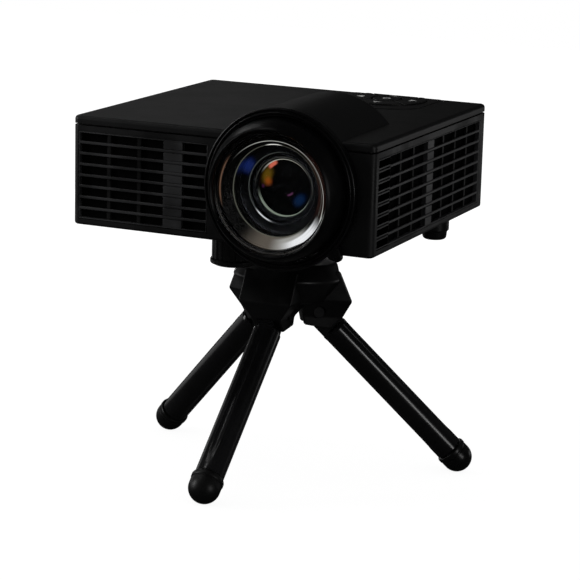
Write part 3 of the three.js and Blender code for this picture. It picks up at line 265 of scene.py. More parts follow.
    def slice(self, point: Point, normal: Point) -> "Sketch":
        """Cuts away what lies on the normal's side of a plane and closes the cut.

        Args:
            point: A point of the plane.
            normal: The plane's normal, towards what goes.

        Returns:
            The sketch itself.
        """
        geometry = list(self.bm.verts) + list(self.bm.edges) + list(self.bm.faces)
        made = bmesh.ops.bisect_plane(self.bm, geom=geometry, dist=1e-5, plane_co=point, plane_no=normal,
                                      clear_outer=True)["geom_cut"]
        rim = [g for g in made if isinstance(g, bmesh.types.BMEdge)]
        bmesh.ops.holes_fill(self.bm, edges=rim, sides=0)
        return self


class Solid:
    """A closed mesh in millimetres that can be joined with others and cut by them."""

    def __init__(self, sketch: Sketch) -> None:
        """Takes over a sketch's mesh.

        Args:
            sketch: The sketch, which is used up.
        """
        mesh = bpy.data.meshes.new("solid")
        sketch.bm.to_mesh(mesh)
        sketch.bm.free()
        self.obj = bpy.data.objects.new("solid", mesh)
        bpy.context.scene.collection.objects.link(self.obj)

    def _combine(self, other: "Solid", how: Join) -> "Solid":
        """Applies a Boolean modifier and throws the tool away.

        Args:
            other: The solid that is the tool.
            how: The way in which the two are combined.

        Returns:
            The solid itself.
        """
        modifier = self.obj.modifiers.new("combine", "BOOLEAN")
        modifier.operation = how.value
        modifier.solver = "EXACT"
        modifier.object = other.obj
        graph = bpy.context.evaluated_depsgraph_get()
        mesh = bpy.data.meshes.new_from_object(self.obj.evaluated_get(graph))
        self.obj.modifiers.clear()
        old = self.obj.data
        self.obj.data = mesh
        bpy.data.meshes.remove(old)
        other.discard()
        return self

    def join(self, sketch: Sketch) -> "Solid":
        """Adds a shape."""
        return self._combine(Solid(sketch), Join.UNION)

    def cut(self, sketch: Sketch) -> "Solid":
        """Takes a shape away."""
        return self._combine(Solid(sketch), Join.CUT)

    def common(self, sketch: Sketch) -> "Solid":
        """Keeps only what lies inside a shape."""
        return self._combine(Solid(sketch), Join.COMMON)

    def soften(self, radius: float, segments: int = 2, angle: float = 30,
               where: Callable[[Vector], bool] | None = None) -> "Solid":
        """Rounds the sharp edges.

        Args:
            radius: The radius of the rounding.
            segments: The number of faces across an edge.
            angle: The least angle, in degrees, that counts as sharp.
            where: Says for an end point whether its edge is taken.

        Returns:
            The solid itself.
        """
        bm = bmesh.new()
        bm.from_mesh(self.obj.data)
        bmesh.ops.remove_doubles(bm, verts=bm.verts, dist=1e-3)
        bmesh.ops.dissolve_limit(bm, angle_limit=math.radians(0.5), verts=bm.verts, edges=bm.edges)
        edges = [e for e in bm.edges if e.is_manifold and e.calc_face_angle(0) > math.radians(angle)
                 and (where is None or all(where(v.co) for v in e.verts))]
        bmesh.ops.bevel(bm, geom=edges, offset=radius, segments=segments, clamp_overlap=True, **BEVEL)
        bm.to_mesh(self.obj.data)
        bm.free()
        return self

    def move(self, x: float, y: float) -> None:
        """Moves the solid sideways."""
        self.obj.data.transform(Matrix.Translation((x, y, 0)))

    def sketch(self) -> Sketch:
        """Gives the mesh back, to be shaped further.

        Returns:
            A sketch of it, while the solid is used up.
        """
        again = Sketch()
        again.bm.from_mesh(self.obj.data)
        self.discard()
        return again

    def discard(self) -> None:
        """Removes the working object."""
        mesh = self.obj.data
        bpy.data.objects.remove(self.obj)
        bpy.data.meshes.remove(mesh)


def rounded(profile: Profile, radius: float, steps: int = 3, closed: bool = False) -> Profile:
    """Rounds the corners of a profile.

    Args:
        profile: Points of radius and height.
        radius: The largest rounding; short sides get less.
        steps: The number of points that replace a corner, less one.
        closed: Whether the profile is a loop.

    Returns:
        The profile with its corners rounded.
    """
    points = [Vector(p) for p in profile]
    result: Profile = []
    for i, point in enumerate(points):
        if not closed and i in (0, len(points) - 1):
            result.append(tuple(point))
            continue
        before, after = points[i - 1], points[(i + 1) % len(points)]
        reach = min(radius, (before - point).length * 0.45, (after - point).length * 0.45)
        start = point + (before - point).normalized() * reach
        end = point + (after - point).normalized() * reach
        for k in range(steps + 1):
            t = k / steps
            bend = start * (1 - t) ** 2 + point * 2 * t * (1 - t) + end * t * t
            result.append((max(bend.x, 0), bend.y))
    return result


def arc(radius: float, start: float, end: float, steps: int, centre: Pair = (0, 0)) -> Profile:
    """Lists the points of a round arc, with its angles in degrees."""
    angles = [math.radians(start + (end - start) * i / steps) for i in range(steps + 1)]
    return [(centre[0] + radius * math.cos(a), centre[1] + radius * math.sin(a)) for a in angles]


# Finishes


class Tree:
    """Adds nodes to a material or a node group, and links them."""

    def __init__(self, tree: bpy.types.NodeTree) -> None:
        """Works on the given tree."""
        self.tree = tree
        self.count = 0

    def add(self, kind: str, values: dict | None = None, **settings: object) -> bpy.types.Node:
        """Adds a node.

        Args:
            kind: The node's type.
            values: A number, colour or output socket for each named or numbered input.
            settings: Properties of the node itself.

        Returns:
            The node.
        """
        node = self.tree.nodes.new(kind)
        node.location = (180 * (self.count % 9), -220 * (self.count // 9))
        self.count += 1
        for name, value in settings.items():
            setattr(node, name, value)
        for name, value in (values or {}).items():
            if isinstance(value, bpy.types.NodeSocket):
                self.tree.links.new(value, node.inputs[name])
            else:
                node.inputs[name].default_value = value
        return node

    def link(self, output: Socket, target: Socket) -> None:
        """Joins two sockets."""
        self.tree.links.new(output, target)

    def sum(self, operation: str, first: Socket | float, second: Socket | float = 0.0,
            clamp: bool = False) -> Socket:
        """Works out a Math node of the given operation."""
        return self.add("ShaderNodeMath", {0: first, 1: second}, operation=operation,
                        use_clamp=clamp).outputs[0]

    def ramp(self, value: Socket, low: float, high: float, to_low: float = 0.0, to_high: float = 1.0) -> Socket:
        """Steps smoothly from one value to another."""
        return self.add("ShaderNodeMapRange", {0: value, 1: low, 2: high, 3: to_low, 4: to_high},
                        interpolation_type="SMOOTHSTEP").outputs[0]

    def blend(self, mask: Socket, first: Socket | Light, second: Socket | Light) -> Socket:
        """Mixes two colours by a mask."""
        return self.add("ShaderNodeMix", {0: mask, 6: first, 7: second}, data_type="RGBA").outputs[2]


def linear(color: Sequence[float]) -> Light:
    """Turns a colour as written for a screen into the light that it stands for.

    Args:
        color: Red, green and blue, 0 to 255.

    Returns:
        The same colour as a node takes it.
    """
    shares = [c / 255 for c in color]
    lit = [s / 12.92 if s <= 0.04045 else ((s + 0.055) / 1.055) ** 2.4 for s in shares]
    return (lit[0], lit[1], lit[2], 1.0)


def find(owner: bpy.types.Material | bpy.types.World, kind: str) -> bpy.types.Node:
    """Finds the node of a type that comes with a new material or world."""
    return next(n for n in owner.node_tree.nodes if n.type == kind)


class Effects:
    """The node groups that several finishes share, each built once."""

    @staticmethod
    def _start(name: str, numbers: Sequence[str], results: Sequence[str]) -> tuple[
            bpy.types.NodeTree, Tree, bpy.types.Node, bpy.types.Node]:
        """Makes an empty group that takes a vector and some numbers, and gives numbers.

        Args:
            name: The group's name.
            numbers: Its number inputs.
            results: Its outputs.

        Returns:
            The group, its tree, and the nodes that hold its inputs and its outputs.
        """
        group = bpy.data.node_groups.new(name, "ShaderNodeTree")
        group.interface.new_socket(name="Vector", in_out="INPUT", socket_type="NodeSocketVector")
        for way, labels in (("INPUT", numbers), ("OUTPUT", results)):
            for label in labels:
                group.interface.new_socket(name=label, in_out=way, socket_type="NodeSocketFloat")
        tree = Tree(group)
        return group, tree, tree.add("NodeGroupInput"), tree.add("NodeGroupOutput")

    @staticmethod
    @functools.cache
    def grain() -> bpy.types.NodeTree:
        """Moulded grain: a height for bump, and a soft tone that wanders over the piece.

        Returns:
            The group.
        """
        group, tree, source, target = Effects._start(
            "moulded_grain", ("Grain Scale", "Tone Scale"), ("Height", "Tone"))
        vector = source.outputs["Vector"]
        cells = tree.add("ShaderNodeTexVoronoi", {"Vector": vector, "Scale": source.outputs["Grain Scale"]})
        fine = tree.add("ShaderNodeTexNoise", {"Vector": vector, "Scale": source.outputs["Grain Scale"],
                                               "Detail": 2.0, "Roughness": 0.6})
        wide = tree.add("ShaderNodeTexNoise", {"Vector": vector, "Scale": source.outputs["Tone Scale"],
                                               "Detail": 3.0, "Roughness": 0.55})
        height = tree.sum("ADD", tree.sum("MULTIPLY", cells.outputs["Distance"], 0.6),
                          tree.sum("MULTIPLY", fine.outputs[0], 0.5))
        tree.link(height, target.inputs["Height"])
        tree.link(tree.ramp(wide.outputs[0], 0.3, 0.7), target.inputs["Tone"])
        return group

    @staticmethod
    @functools.cache
    def dust() -> bpy.types.NodeTree:
        """Fine dust that lies on faces that look up, and specks of it elsewhere.

        Returns:
            The group.
        """
        group, tree, source, target = Effects._start("settled_dust", ("Amount",), ("Mask",))
        vector = source.outputs["Vector"]
        specks = tree.add("ShaderNodeTexVoronoi", {"Vector": vector, "Scale": 900.0, "Randomness": 1.0})
        haze = tree.add("ShaderNodeTexNoise", {"Vector": vector, "Scale": 70.0, "Detail": 4.0,
                                               "Roughness": 0.6})
        normal = tree.add("ShaderNodeNewGeometry").outputs["Normal"]
        up = tree.add("ShaderNodeSeparateXYZ", {0: normal}).outputs[2]
        lying = tree.sum("ADD", tree.sum("MULTIPLY", up, 0.75, clamp=True), 0.25)
        spots = tree.ramp(specks.outputs["Distance"], 0.05, 0.16, 1.0, 0.0)
        film = tree.ramp(haze.outputs[0], 0.45, 0.8)
        both = tree.sum("ADD", tree.sum("MULTIPLY", spots, 0.6), tree.sum("MULTIPLY", film, 0.4))
        mask = tree.sum("MULTIPLY", tree.sum("MULTIPLY", both, lying), source.outputs["Amount"], clamp=True)
        tree.link(mask, target.inputs["Mask"])
        return group

    @staticmethod
    @functools.cache
    def arc_patch() -> bpy.types.NodeTree:
        """A soft patch between two radii and about one angle of a round piece.

        Returns:
            The group.
        """
        names = ["Inner", "Outer", "Radial Softness", "Angle", "Half Angle", "Angle Softness"]
        group, tree, source, target = Effects._start("arc_patch", names, ("Mask",))
        inner, outer, soft, angle, half, fade = [source.outputs[name] for name in names]
        split = tree.add("ShaderNodeSeparateXYZ", {0: source.outputs["Vector"]})
        x, y = split.outputs[0], split.outputs[1]
        radius = tree.sum("SQRT", tree.sum("ADD", tree.sum("MULTIPLY", x, x), tree.sum("MULTIPLY", y, y)))
        bearing = tree.sum("SUBTRACT", tree.sum("ARCTAN2", y, x), angle)
        turns = tree.sum("ROUND", tree.sum("DIVIDE", bearing, 2 * math.pi))
        away = tree.sum("ABSOLUTE", tree.sum("SUBTRACT", bearing, tree.sum("MULTIPLY", turns, 2 * math.pi)))
        beyond = tree.sum("MAXIMUM", tree.sum("SUBTRACT", inner, radius), tree.sum("SUBTRACT", radius, outer))
        across = tree.sum("SUBTRACT", 1.0, tree.sum("DIVIDE", beyond, soft), clamp=True)
        past = tree.sum("SUBTRACT", away, half)
        along = tree.sum("SUBTRACT", 1.0, tree.sum("DIVIDE", past, fade), clamp=True)
        tree.link(tree.ramp(tree.sum("MULTIPLY", across, along), 0.0, 1.0), target.inputs["Mask"])
        return group


@dataclass(frozen=True)
class PaintedGleam:
    """A painted reflection or highlight in the lens, given as an emission colour: where it lies round the lens
    axis, and its colour.

    Radii are in millimetres and angles in degrees. The drop is how far its centre lies below the axis.
    """

    inner: float
    outer: float
    angle: float
    half: float
    color: Tint
    strength: float = 1.0
    soft: float = 0.6
    fade: float = 14.0
    drop: float = 0.0


@dataclass(frozen=True)
class Finish:
    """A surface finish with its grain, tone and dust, and for lens parts the painted reflections that glow by
    emission.

    Colours are written as they look on a screen, 0 to 255. Grain and tone are in cells per metre.
    """

    name: str
    color: Tint
    roughness: float
    metallic: float = 0.0
    specular: float = 0.5
    grain: float = 2200.0
    grain_depth: float = 0.00004
    tone: float = 60.0
    tone_share: float = 0.25
    rough_share: float = 0.08
    dust: float = 0.0
    dust_color: Tint = (84, 83, 80)
    brushed: Point | None = None
    transmission: float = 0.0
    ior: float = 1.5
    painted_gleams: tuple[PaintedGleam, ...] = ()

    def _painted_glow(self, tree: Tree, vector: Socket) -> Socket:
        """Lays every painted reflection over black, in millimetres about the lens axis.

        Args:
            tree: The material's nodes.
            vector: Object coordinates.

        Returns:
            The colour of the glow.
        """
        around = tree.add("ShaderNodeMapping", {
            "Vector": vector, "Location": Place.LENS.translation, "Rotation": Place.LENS.to_euler("XYZ"),
            "Scale": (MM, MM, MM)}, vector_type="TEXTURE").outputs[0]
        color = (0.0, 0.0, 0.0, 1.0)
        for painted_gleam in self.painted_gleams:
            centred = tree.add("ShaderNodeMapping", {"Vector": around, "Location": (0, painted_gleam.drop, 0)})
            patch = tree.add("ShaderNodeGroup", node_tree=Effects.arc_patch())
            tree.link(centred.outputs[0], patch.inputs["Vector"])
            for name, value in (("Inner", painted_gleam.inner), ("Outer", painted_gleam.outer), ("Radial Softness", painted_gleam.soft),
                                ("Angle", math.radians(painted_gleam.angle)), ("Half Angle", math.radians(painted_gleam.half)),
                                ("Angle Softness", math.radians(painted_gleam.fade))):
                patch.inputs[name].default_value = value
            mask = tree.sum("MULTIPLY", patch.outputs["Mask"], painted_gleam.strength)
            color = tree.blend(mask, color, linear(painted_gleam.color))
        return color

    def material(self) -> bpy.types.Material:
        """Builds the finish's material, or takes the one already built.

        Returns:
            The material.
        """
        if self.name in bpy.data.materials:
            return bpy.data.materials[self.name]
        material = bpy.data.materials.new(self.name)
        material.use_nodes = True
        tree = Tree(material.node_tree)
        shader = find(material, "BSDF_PRINCIPLED")
        coordinates = vector = tree.add("ShaderNodeTexCoord").outputs["Object"]
        if self.brushed:
            vector = tree.add("ShaderNodeMapping", {"Vector": vector, "Scale": self.brushed}).outputs[0]
        grain = tree.add("ShaderNodeGroup", node_tree=Effects.grain())
        tree.link(vector, grain.inputs["Vector"])
        grain.inputs["Grain Scale"].default_value = self.grain
        grain.inputs["Tone Scale"].default_value = self.tone
        tone = grain.outputs["Tone"]
        dark = linear([c * (1 - self.tone_share) for c in self.color])
        light = linear([min(255, c * (1 + self.tone_share)) for c in self.color])
        color = tree.blend(tone, dark, light)
        roughness = tree.ramp(tone, 0.0, 1.0, self.roughness - self.rough_share,
                              self.roughness + self.rough_share)
        if self.dust:
            dust = tree.add("ShaderNodeGroup", node_tree=Effects.dust())
            tree.link(vector, dust.inputs["Vector"])
            dust.inputs["Amount"].default_value = self.dust
            color = tree.blend(dust.outputs["Mask"], color, linear(self.dust_color))
            roughness = tree.sum("ADD", roughness, tree.sum("MULTIPLY", dust.outputs["Mask"], 0.3), clamp=True)
        # Painted reflections and highlights go into the emission, so these parts glow without a lamp.
        if self.painted_gleams:
            tree.link(self._painted_glow(tree, coordinates), shader.inputs["Emission Color"])
            shader.inputs["Emission Strength"].default_value = 1.0
        bump = tree.add("ShaderNodeBump", {"Height": grain.outputs["Height"], "Strength": 1.0,
                                           "Distance": self.grain_depth})
        tree.link(color, shader.inputs["Base Color"])
        tree.link(roughness, shader.inputs["Roughness"])
        tree.link(bump.outputs[0], shader.inputs["Normal"])
        for name, value in (("Metallic", self.metallic), ("Specular IOR Level", self.specular),
                            ("Transmission Weight", self.transmission), ("IOR", self.ior)):
            shader.inputs[name].default_value = value
        return material


SHELL = Finish("moulded_shell", (11, 11, 12), 0.44, specular=0.38, grain=2600, grain_depth=0.00002, dust=0.04)
LID = Finish("moulded_lid", (12, 12, 13), 0.42, specular=0.36, grain=2400, grain_depth=0.00002, tone_share=0.10,
             rough_share=0.015, dust=0.012)
LOUVRE = Finish("moulded_louvre", (36, 36, 37), 0.40, specular=0.42, grain=3000, grain_depth=0.00002, dust=0.03)
# Painted shade: the upright bars are the grille's own plastic, coloured far darker than the face bars for the
# shade they lie in.
UPRIGHT_SHADE = Finish("louvre_bars_painted_shade", (8, 8, 8), 0.5, specular=0.25, grain=3000, grain_depth=0.00002)
# Painted shade: a near-black sheet behind the grilles that stands in for the shaded inside of the case.
SHADE_SHEET = Finish("dark_sheet_painted_shade", (3, 3, 3), 0.9, specular=0.05, grain=1900, grain_depth=0.0001)
RING_GLOSS = Finish("gloss_ring", (5, 5, 6), 0.34, specular=0.3, grain=1500, grain_depth=0.000006)
# Painted highlight: a thin pale arc low inside the rim, drawn as emission.
NOSE_GLOSS = Finish(
    "gloss_nose_painted_highlight", (4, 4, 5), 0.34, specular=0.2, grain=1500, grain_depth=0.000005,
    painted_gleams=(PaintedGleam(20.3, 20.45, -100, 50, (66, 64, 60), 0.8, 0.12, 40.0),))
KEY = Finish("satin_key", (11, 11, 12), 0.40, specular=0.34, grain=2600, grain_depth=0.00002, dust=0.04)
BEZEL = Finish("gloss_bezel", (7, 7, 8), 0.32, specular=0.34, grain=900, grain_depth=0.000004, dust=0.04)
MARK = Finish("key_mark", (172, 172, 170), 0.5, grain=4000, grain_depth=0.00001)
STAND = Finish("satin_stand", (7, 7, 8), 0.36, specular=0.4, grain=2400, grain_depth=0.00002, dust=0.03)
LEG = Finish("satin_leg", (12, 12, 13), 0.20, rough_share=0.03, specular=0.4, grain=2800, grain_depth=0.000002,
             dust=0.008)
RUBBER = Finish("foot_rubber", (8, 8, 8), 0.34, specular=0.4, grain=1600, grain_depth=0.00001, dust=0.005)
PIN = Finish("blackened_pin", (24, 24, 25), 0.4, metallic=0.6, grain=2600, grain_depth=0.00001)
FRONT_GLASS = Finish("coated_front_glass", (252, 252, 253), 0.01, specular=0.5, grain=300, grain_depth=0.0,
                     tone_share=0.01, rough_share=0.004, transmission=1.0, ior=1.12)
MIDDLE_GLASS = Finish("coated_middle_glass", (240, 244, 250), 0.01, specular=0.5, grain=300, grain_depth=0.0,
                      tone_share=0.01, rough_share=0.004, transmission=1.0, ior=1.12)
# Painted reflections: white and grey crescents low on the right, thin pale arcs, a small white spot on top, and
# tan and dark red patches, all drawn as emission over a dark cone.
CONE = Finish(
    "dark_cone_painted_reflections", (20, 20, 20), 0.5, metallic=0.5, specular=0.1, grain=1200, grain_depth=0.000002,
    painted_gleams=(PaintedGleam(14.0, 21.0, -88, 12, (84, 78, 70), 1.0, 1.0, 30.0),
            PaintedGleam(15.0, 18.4, 12, 24, (30, 14, 10), 0.9, 1.4, 20.0),
            PaintedGleam(18.7, 19.1, 172, 14, (104, 78, 62), 0.8, 0.3, 16.0),
            PaintedGleam(15.2, 15.35, 170, 140, (88, 90, 80), 0.8, 0.2, 25.0),
            PaintedGleam(15.4, 20.0, -66, 8, (160, 160, 156), 0.9, 0.8, 22.0, 0.8),
            PaintedGleam(16.6, 18.6, -50, 10, (236, 238, 240), 0.95, 0.7, 22.0, 0.8),
            PaintedGleam(18.4, 18.45, 46, 60, (190, 192, 186), 0.9, 0.16, 40.0, 1.6),
            PaintedGleam(17.25, 17.3, 10, 30, (100, 104, 98), 0.7, 0.16, 40.0, 0.8),
            PaintedGleam(15.15, 15.45, 94, 5, (240, 240, 234), 1.0, 0.3, 8.0)))
# Painted reflections: a blue patch and thin pale arcs, drawn as emission.
TUBE = Finish(
    "satin_tube_painted_reflections", (5, 5, 6), 0.36, metallic=0.3, grain=1600, grain_depth=0.00002,
    painted_gleams=(PaintedGleam(13.0, 14.4, 152, 2, (20, 36, 92), 0.75, 1.4, 14.0),
            PaintedGleam(11.95, 12.0, 170, 60, (84, 88, 82), 0.8, 0.15, 40.0),
            PaintedGleam(11.85, 12.05, -124, 8, (214, 216, 212), 1.0, 0.2, 12.0)))
# Painted reflections: amber, orange, pink, blue and purple patches that stand for light reflected by the
# coatings, drawn as emission.
INNER_GLASS = Finish(
    "coated_inner_glass_painted_reflections", (3, 3, 4), 0.5, specular=0.08, grain=200, grain_depth=0.0,
    painted_gleams=(PaintedGleam(7.4, 8.6, 157, 5, (96, 72, 14), 0.8, 2.0, 24.0),
            PaintedGleam(6.7, 7.3, 170, 1, (150, 70, 20), 0.65, 1.8, 17.0),
            PaintedGleam(8.5, 9.3, 129, 6, (214, 106, 82), 0.9, 0.6, 9.0),
            PaintedGleam(5.6, 6.6, -42, 6, (8, 30, 60), 0.9, 1.8, 26.0),
            PaintedGleam(2.7, 2.9, -60, 12, (96, 52, 84), 0.7, 0.4, 20.0),
            PaintedGleam(8.7, 9.1, -176, 1, (60, 26, 56), 0.7, 0.6, 5.0)))
# Painted highlights: thin pale arcs round the stop's inner edge, drawn as emission.
APERTURE = Finish(
    "satin_aperture_painted_highlights", (5, 5, 6), 0.5, metallic=0.2, grain=1600, grain_depth=0.00001,
    painted_gleams=(PaintedGleam(9.35, 9.5, 88, 34, (186, 184, 168), 0.9, 0.15, 34.0),
            PaintedGleam(9.35, 9.5, -94, 50, (140, 150, 132), 0.85, 0.15, 34.0),
            PaintedGleam(10.2, 10.3, 80, 70, (88, 88, 80), 0.6, 0.12, 40.0)))
ENGINE = Finish("cast_engine", (96, 98, 100), 0.5, metallic=0.9, grain=1400, grain_depth=0.00008)
ALUMINIUM = Finish("extruded_aluminium", (150, 153, 156), 0.4, metallic=1.0, brushed=(1, 1, 0.05),
                   grain=3000, grain_depth=0.00002)
STEEL = Finish("turned_steel", (142, 144, 147), 0.32, metallic=1.0, brushed=(1, 1, 0.2), grain=3000,
               grain_depth=0.00001)
BRASS = Finish("turned_brass", (170, 136, 74), 0.34, metallic=1.0, grain=2600, grain_depth=0.00001)
BOARD = Finish("bare_circuit_board", (24, 66, 44), 0.42, grain=800, grain_depth=0.00004, tone=180.0,
               tone_share=0.35)
CHIP = Finish("ceramic_chip", (52, 52, 54), 0.5, grain=1800, grain_depth=0.00002)
FAN = Finish("fan_plastic", (30, 30, 31), 0.5, grain=2200, grain_depth=0.00004, dust=0.2)


# Pieces


def dress(node: str, finish: Finish) -> None:
    """Gives a CAD node that stays its finish.

    Args:
        node: The node's name.
        finish: Its finish.
    """
    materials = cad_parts[node].data.materials
    materials.clear()
    materials.append(finish.material())
    LOG.info("kept %s in %s", node, finish.name)


def fit(name: str, solid: Solid | Sketch, place: Matrix, body: str, finish: Finish,
        node: str | None = None, smooth: float = 32) -> bpy.types.Object:
    """Puts a finished piece in its place on a body.

    Args:
        name: The piece's name.
        solid: Its shape in millimetres.
        place: The frame that it was drawn in.
        body: The CAD body that it rides on.
        finish: Its finish.
        node: The CAD node that it replaces, if any.
        smooth: The angle, in degrees, above which an edge stays sharp.

    Returns:
        The piece.
    """
    sketch = solid.sketch() if isinstance(solid, Solid) else solid
    bmesh.ops.remove_doubles(sketch.bm, verts=sketch.bm.verts, dist=1e-4)
    bmesh.ops.transform(sketch.bm, matrix=place, verts=sketch.bm.verts)
    mesh = bpy.data.meshes.new(name)
    sketch.bm.to_mesh(mesh)
    sketch.bm.free()
    mesh.shade_smooth()
    mesh.set_sharp_from_angle(angle=math.radians(smooth))
    piece = bpy.data.objects.new(name, mesh)
    bpy.context.scene.collection.objects.link(piece)
    mesh.materials.append(finish.material())
    normals = piece.modifiers.new("even_normals", "WEIGHTED_NORMAL")
    normals.keep_sharp = True
    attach(piece, body)
    off = 0.0
    if node:
        low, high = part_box(node)
        corners = [v.co for v in mesh.vertices]
        mine = [(min(c[i] for c in corners), max(c[i] for c in corners)) for i in range(3)]
        off = max(max(abs(mine[i][0] - low[i]), abs(mine[i][1] - high[i])) for i in range(3))
        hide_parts(node)
    LOG.info("%s rides on %s, %d faces, %.2f mm off its solid", name, body, len(mesh.polygons), off / MM)
    return piece


@dataclass
class Case:
    """The two shells of the case, with the round hood over the lens."""

    width: float = 112.5
    depth: float = 107.6
    height: float = 38.2
    wall: float = 1.8
    corner: float = 2.2
    edge: float = 1.3
    foot_edge: float = 0.9
    skirt: float = 2.7
    seam: float = 0.6
    inner_corner: float = 1.3
    front_opening: Pair = (-54.05, -4.2)
    side_opening: Pair = (3.4, 101.9)
    opening_low: float = 2.2
    opening_high: float = 32.91
    bush_at: Pair = (0.8, 58.8)
    foot_at: Pair = (0, 13.5)
    boss: float = 3.4
    lens_x: float = Place.LENS_X
    lens_z: float = Place.LENS_Z
    hood: float = 27.3
    hood_wall: float = 1.6
    hood_length: float = 44.4
    hood_shoulder: float = 2.2
    tube: float = 18.1

    def _rod(self, radius: float, start: float, end: float, steps: int = 96) -> Sketch:
        """Draws a round bar along the lens axis, from one depth to another."""
        return Sketch().rod(radius, start, end, steps).turn(-90, "X").move(self.lens_x, 0, self.lens_z)

    def _post(self, x: float, y: float, radius: float, low: float, high: float, steps: int = 24) -> Sketch:
        """Draws an upright bar."""
        return Sketch().rod(radius, low, high, steps).move(x, y)

    def hood_shell(self) -> Solid:
        """Draws the hood's wall above the lid, with its rounded back.

        Returns:
            The wall.
        """
        r, wall, length, shoulder = self.hood, self.hood_wall, self.hood_length, self.hood_shoulder
        outer = [(0, length)] + arc(shoulder, 90, 0, 8, (r - shoulder, length - shoulder))
        outer += [(r, 0.3), (r - 0.3, 0)]
        inner = [(r - wall, 0), (r - wall, length - wall), (0, length - wall)]
        shell = Solid(Sketch().lathe(outer + inner, 128).turn(-90, "X").move(self.lens_x, 0, self.lens_z))
        low = self.height - self.wall
        return shell.common(Sketch().block((-60, -5, low), (60, 60, 60)))

    def top_cover(self) -> None:
        """The lid: a shallow tray, its lip, the hood and the plate behind the hood's mouth."""
        half, top, wall = self.width / 2, self.height, self.wall
        low = top - self.skirt
        lid = Solid(Sketch().tray((-half, 0, low), (half, self.depth, top), self.corner, self.edge, 0))
        lid.cut(Sketch().tray((-half + wall, wall, low - 2), (half - wall, self.depth - wall, top - wall),
                              self.inner_corner, 0, 0))
        lid.join(self.hood_shell().sketch())
        lid.cut(self._rod(self.hood - self.hood_wall, -2, self.hood_length - self.hood_wall, 128))
        brow = Solid(self._rod(self.hood - self.hood_wall + 0.15, 0, wall, 128))
        brow.cut(self._rod(self.tube, -2, 10))
        brow.common(Sketch().block((-60, -5, top - wall), (60, 5, 60)))
        lid.join(brow.sketch())
        inset = wall + 0.15
        lip = Solid(Sketch().tray((-half + inset, inset, low - 1.8),
                                  (half - inset, self.depth - inset, top - 0.9), 1.1, 0, 0))
        lip.cut(Sketch().tray((-half + inset + 0.9, inset + 0.9, low - 4),
                              (half - inset - 0.9, self.depth - inset - 0.9, top + 2), 0.8, 0, 0))
        lid.join(lip.sketch())
        pad = Keypad()
        lid.cut(pad.outline(0, pad.well_floor, top + 5).sketch())
        lid.cut(pad.outline(pad.ledge, top - 10, top + 5).sketch())
        sketch = lid.sketch()
        for x, y in self.bosses():
            part = self._post(x, y, self.boss, 34.9, top - 0.9)
            mesh = bpy.data.meshes.new("post")
            part.bm.to_mesh(mesh)
            sketch.bm.from_mesh(mesh)
            bpy.data.meshes.remove(mesh)
        fit("lid", sketch, Place.PROJECTOR, "projector", LID, "top_cover")

    def bosses(self) -> Profile:
        """Lists where the case's screws stand."""
        half = self.width / 2 - 7
        return [(side * half, y) for side in (-1, 1) for y in (7, self.depth - 8)]

    def bottom_case(self) -> None:
        """The lower shell, with its windows, posts and holes."""
        half, wall, top = self.width / 2, self.wall, self.height - self.skirt - self.seam
        case = Solid(Sketch().tray((-half, 0, 0), (half, self.depth, top), self.corner, 0, self.foot_edge))
        low, high, reach = self.opening_low, self.opening_high, self.width
        case.cut(Sketch().tray((-half + wall, wall, wall), (half - wall, self.depth - wall, top + 5),
                               self.inner_corner, 0, 0))
        case.cut(Sketch().block((self.front_opening[0], -4, low), (self.front_opening[1], 4, high)))
        case.cut(Sketch().block((-reach, self.side_opening[0], low), (reach, self.side_opening[1], high)))
        case.cut(Sketch().block((-46, self.depth - 4, 6), (46, self.depth + 4, 27)))
        case.cut(self._rod(self.tube, -4, 4))
        case.join(self._post(*self.bush_at, 7.6, 0.9, 8.1, 48))
        case.join(self._post(*self.foot_at, 5.4, 0.9, 9.9, 48))
        for x, y in self.bosses():
            case.join(self._post(x, y, self.boss, 0.9, 34.6))
            case.cut(self._post(x, y, 1.3, -2, 40))
            case.cut(self._post(x, y, 2.45, -2, 1.45))
        case.cut(self._post(*self.bush_at, 6.15, 1.8, 40, 48))
        case.cut(self._post(*self.bush_at, 3.6, -2, 40, 48))
        case.cut(self._post(*self.foot_at, 3.3, -2, 40, 48))
        vents = Sketch()
        for i in range(8):
            x = -27 + (i - 3.5) * 4
            vents.block((x - 0.9, 7, -2), (x + 0.9, 25, 5), 0.8, 3)
        case.cut(vents)
        fit("lower_shell", case, Place.PROJECTOR, "projector", SHELL, "bottom_case")

    def build(self) -> None:
        """Builds both shells."""
        self.top_cover()
        self.bottom_case()


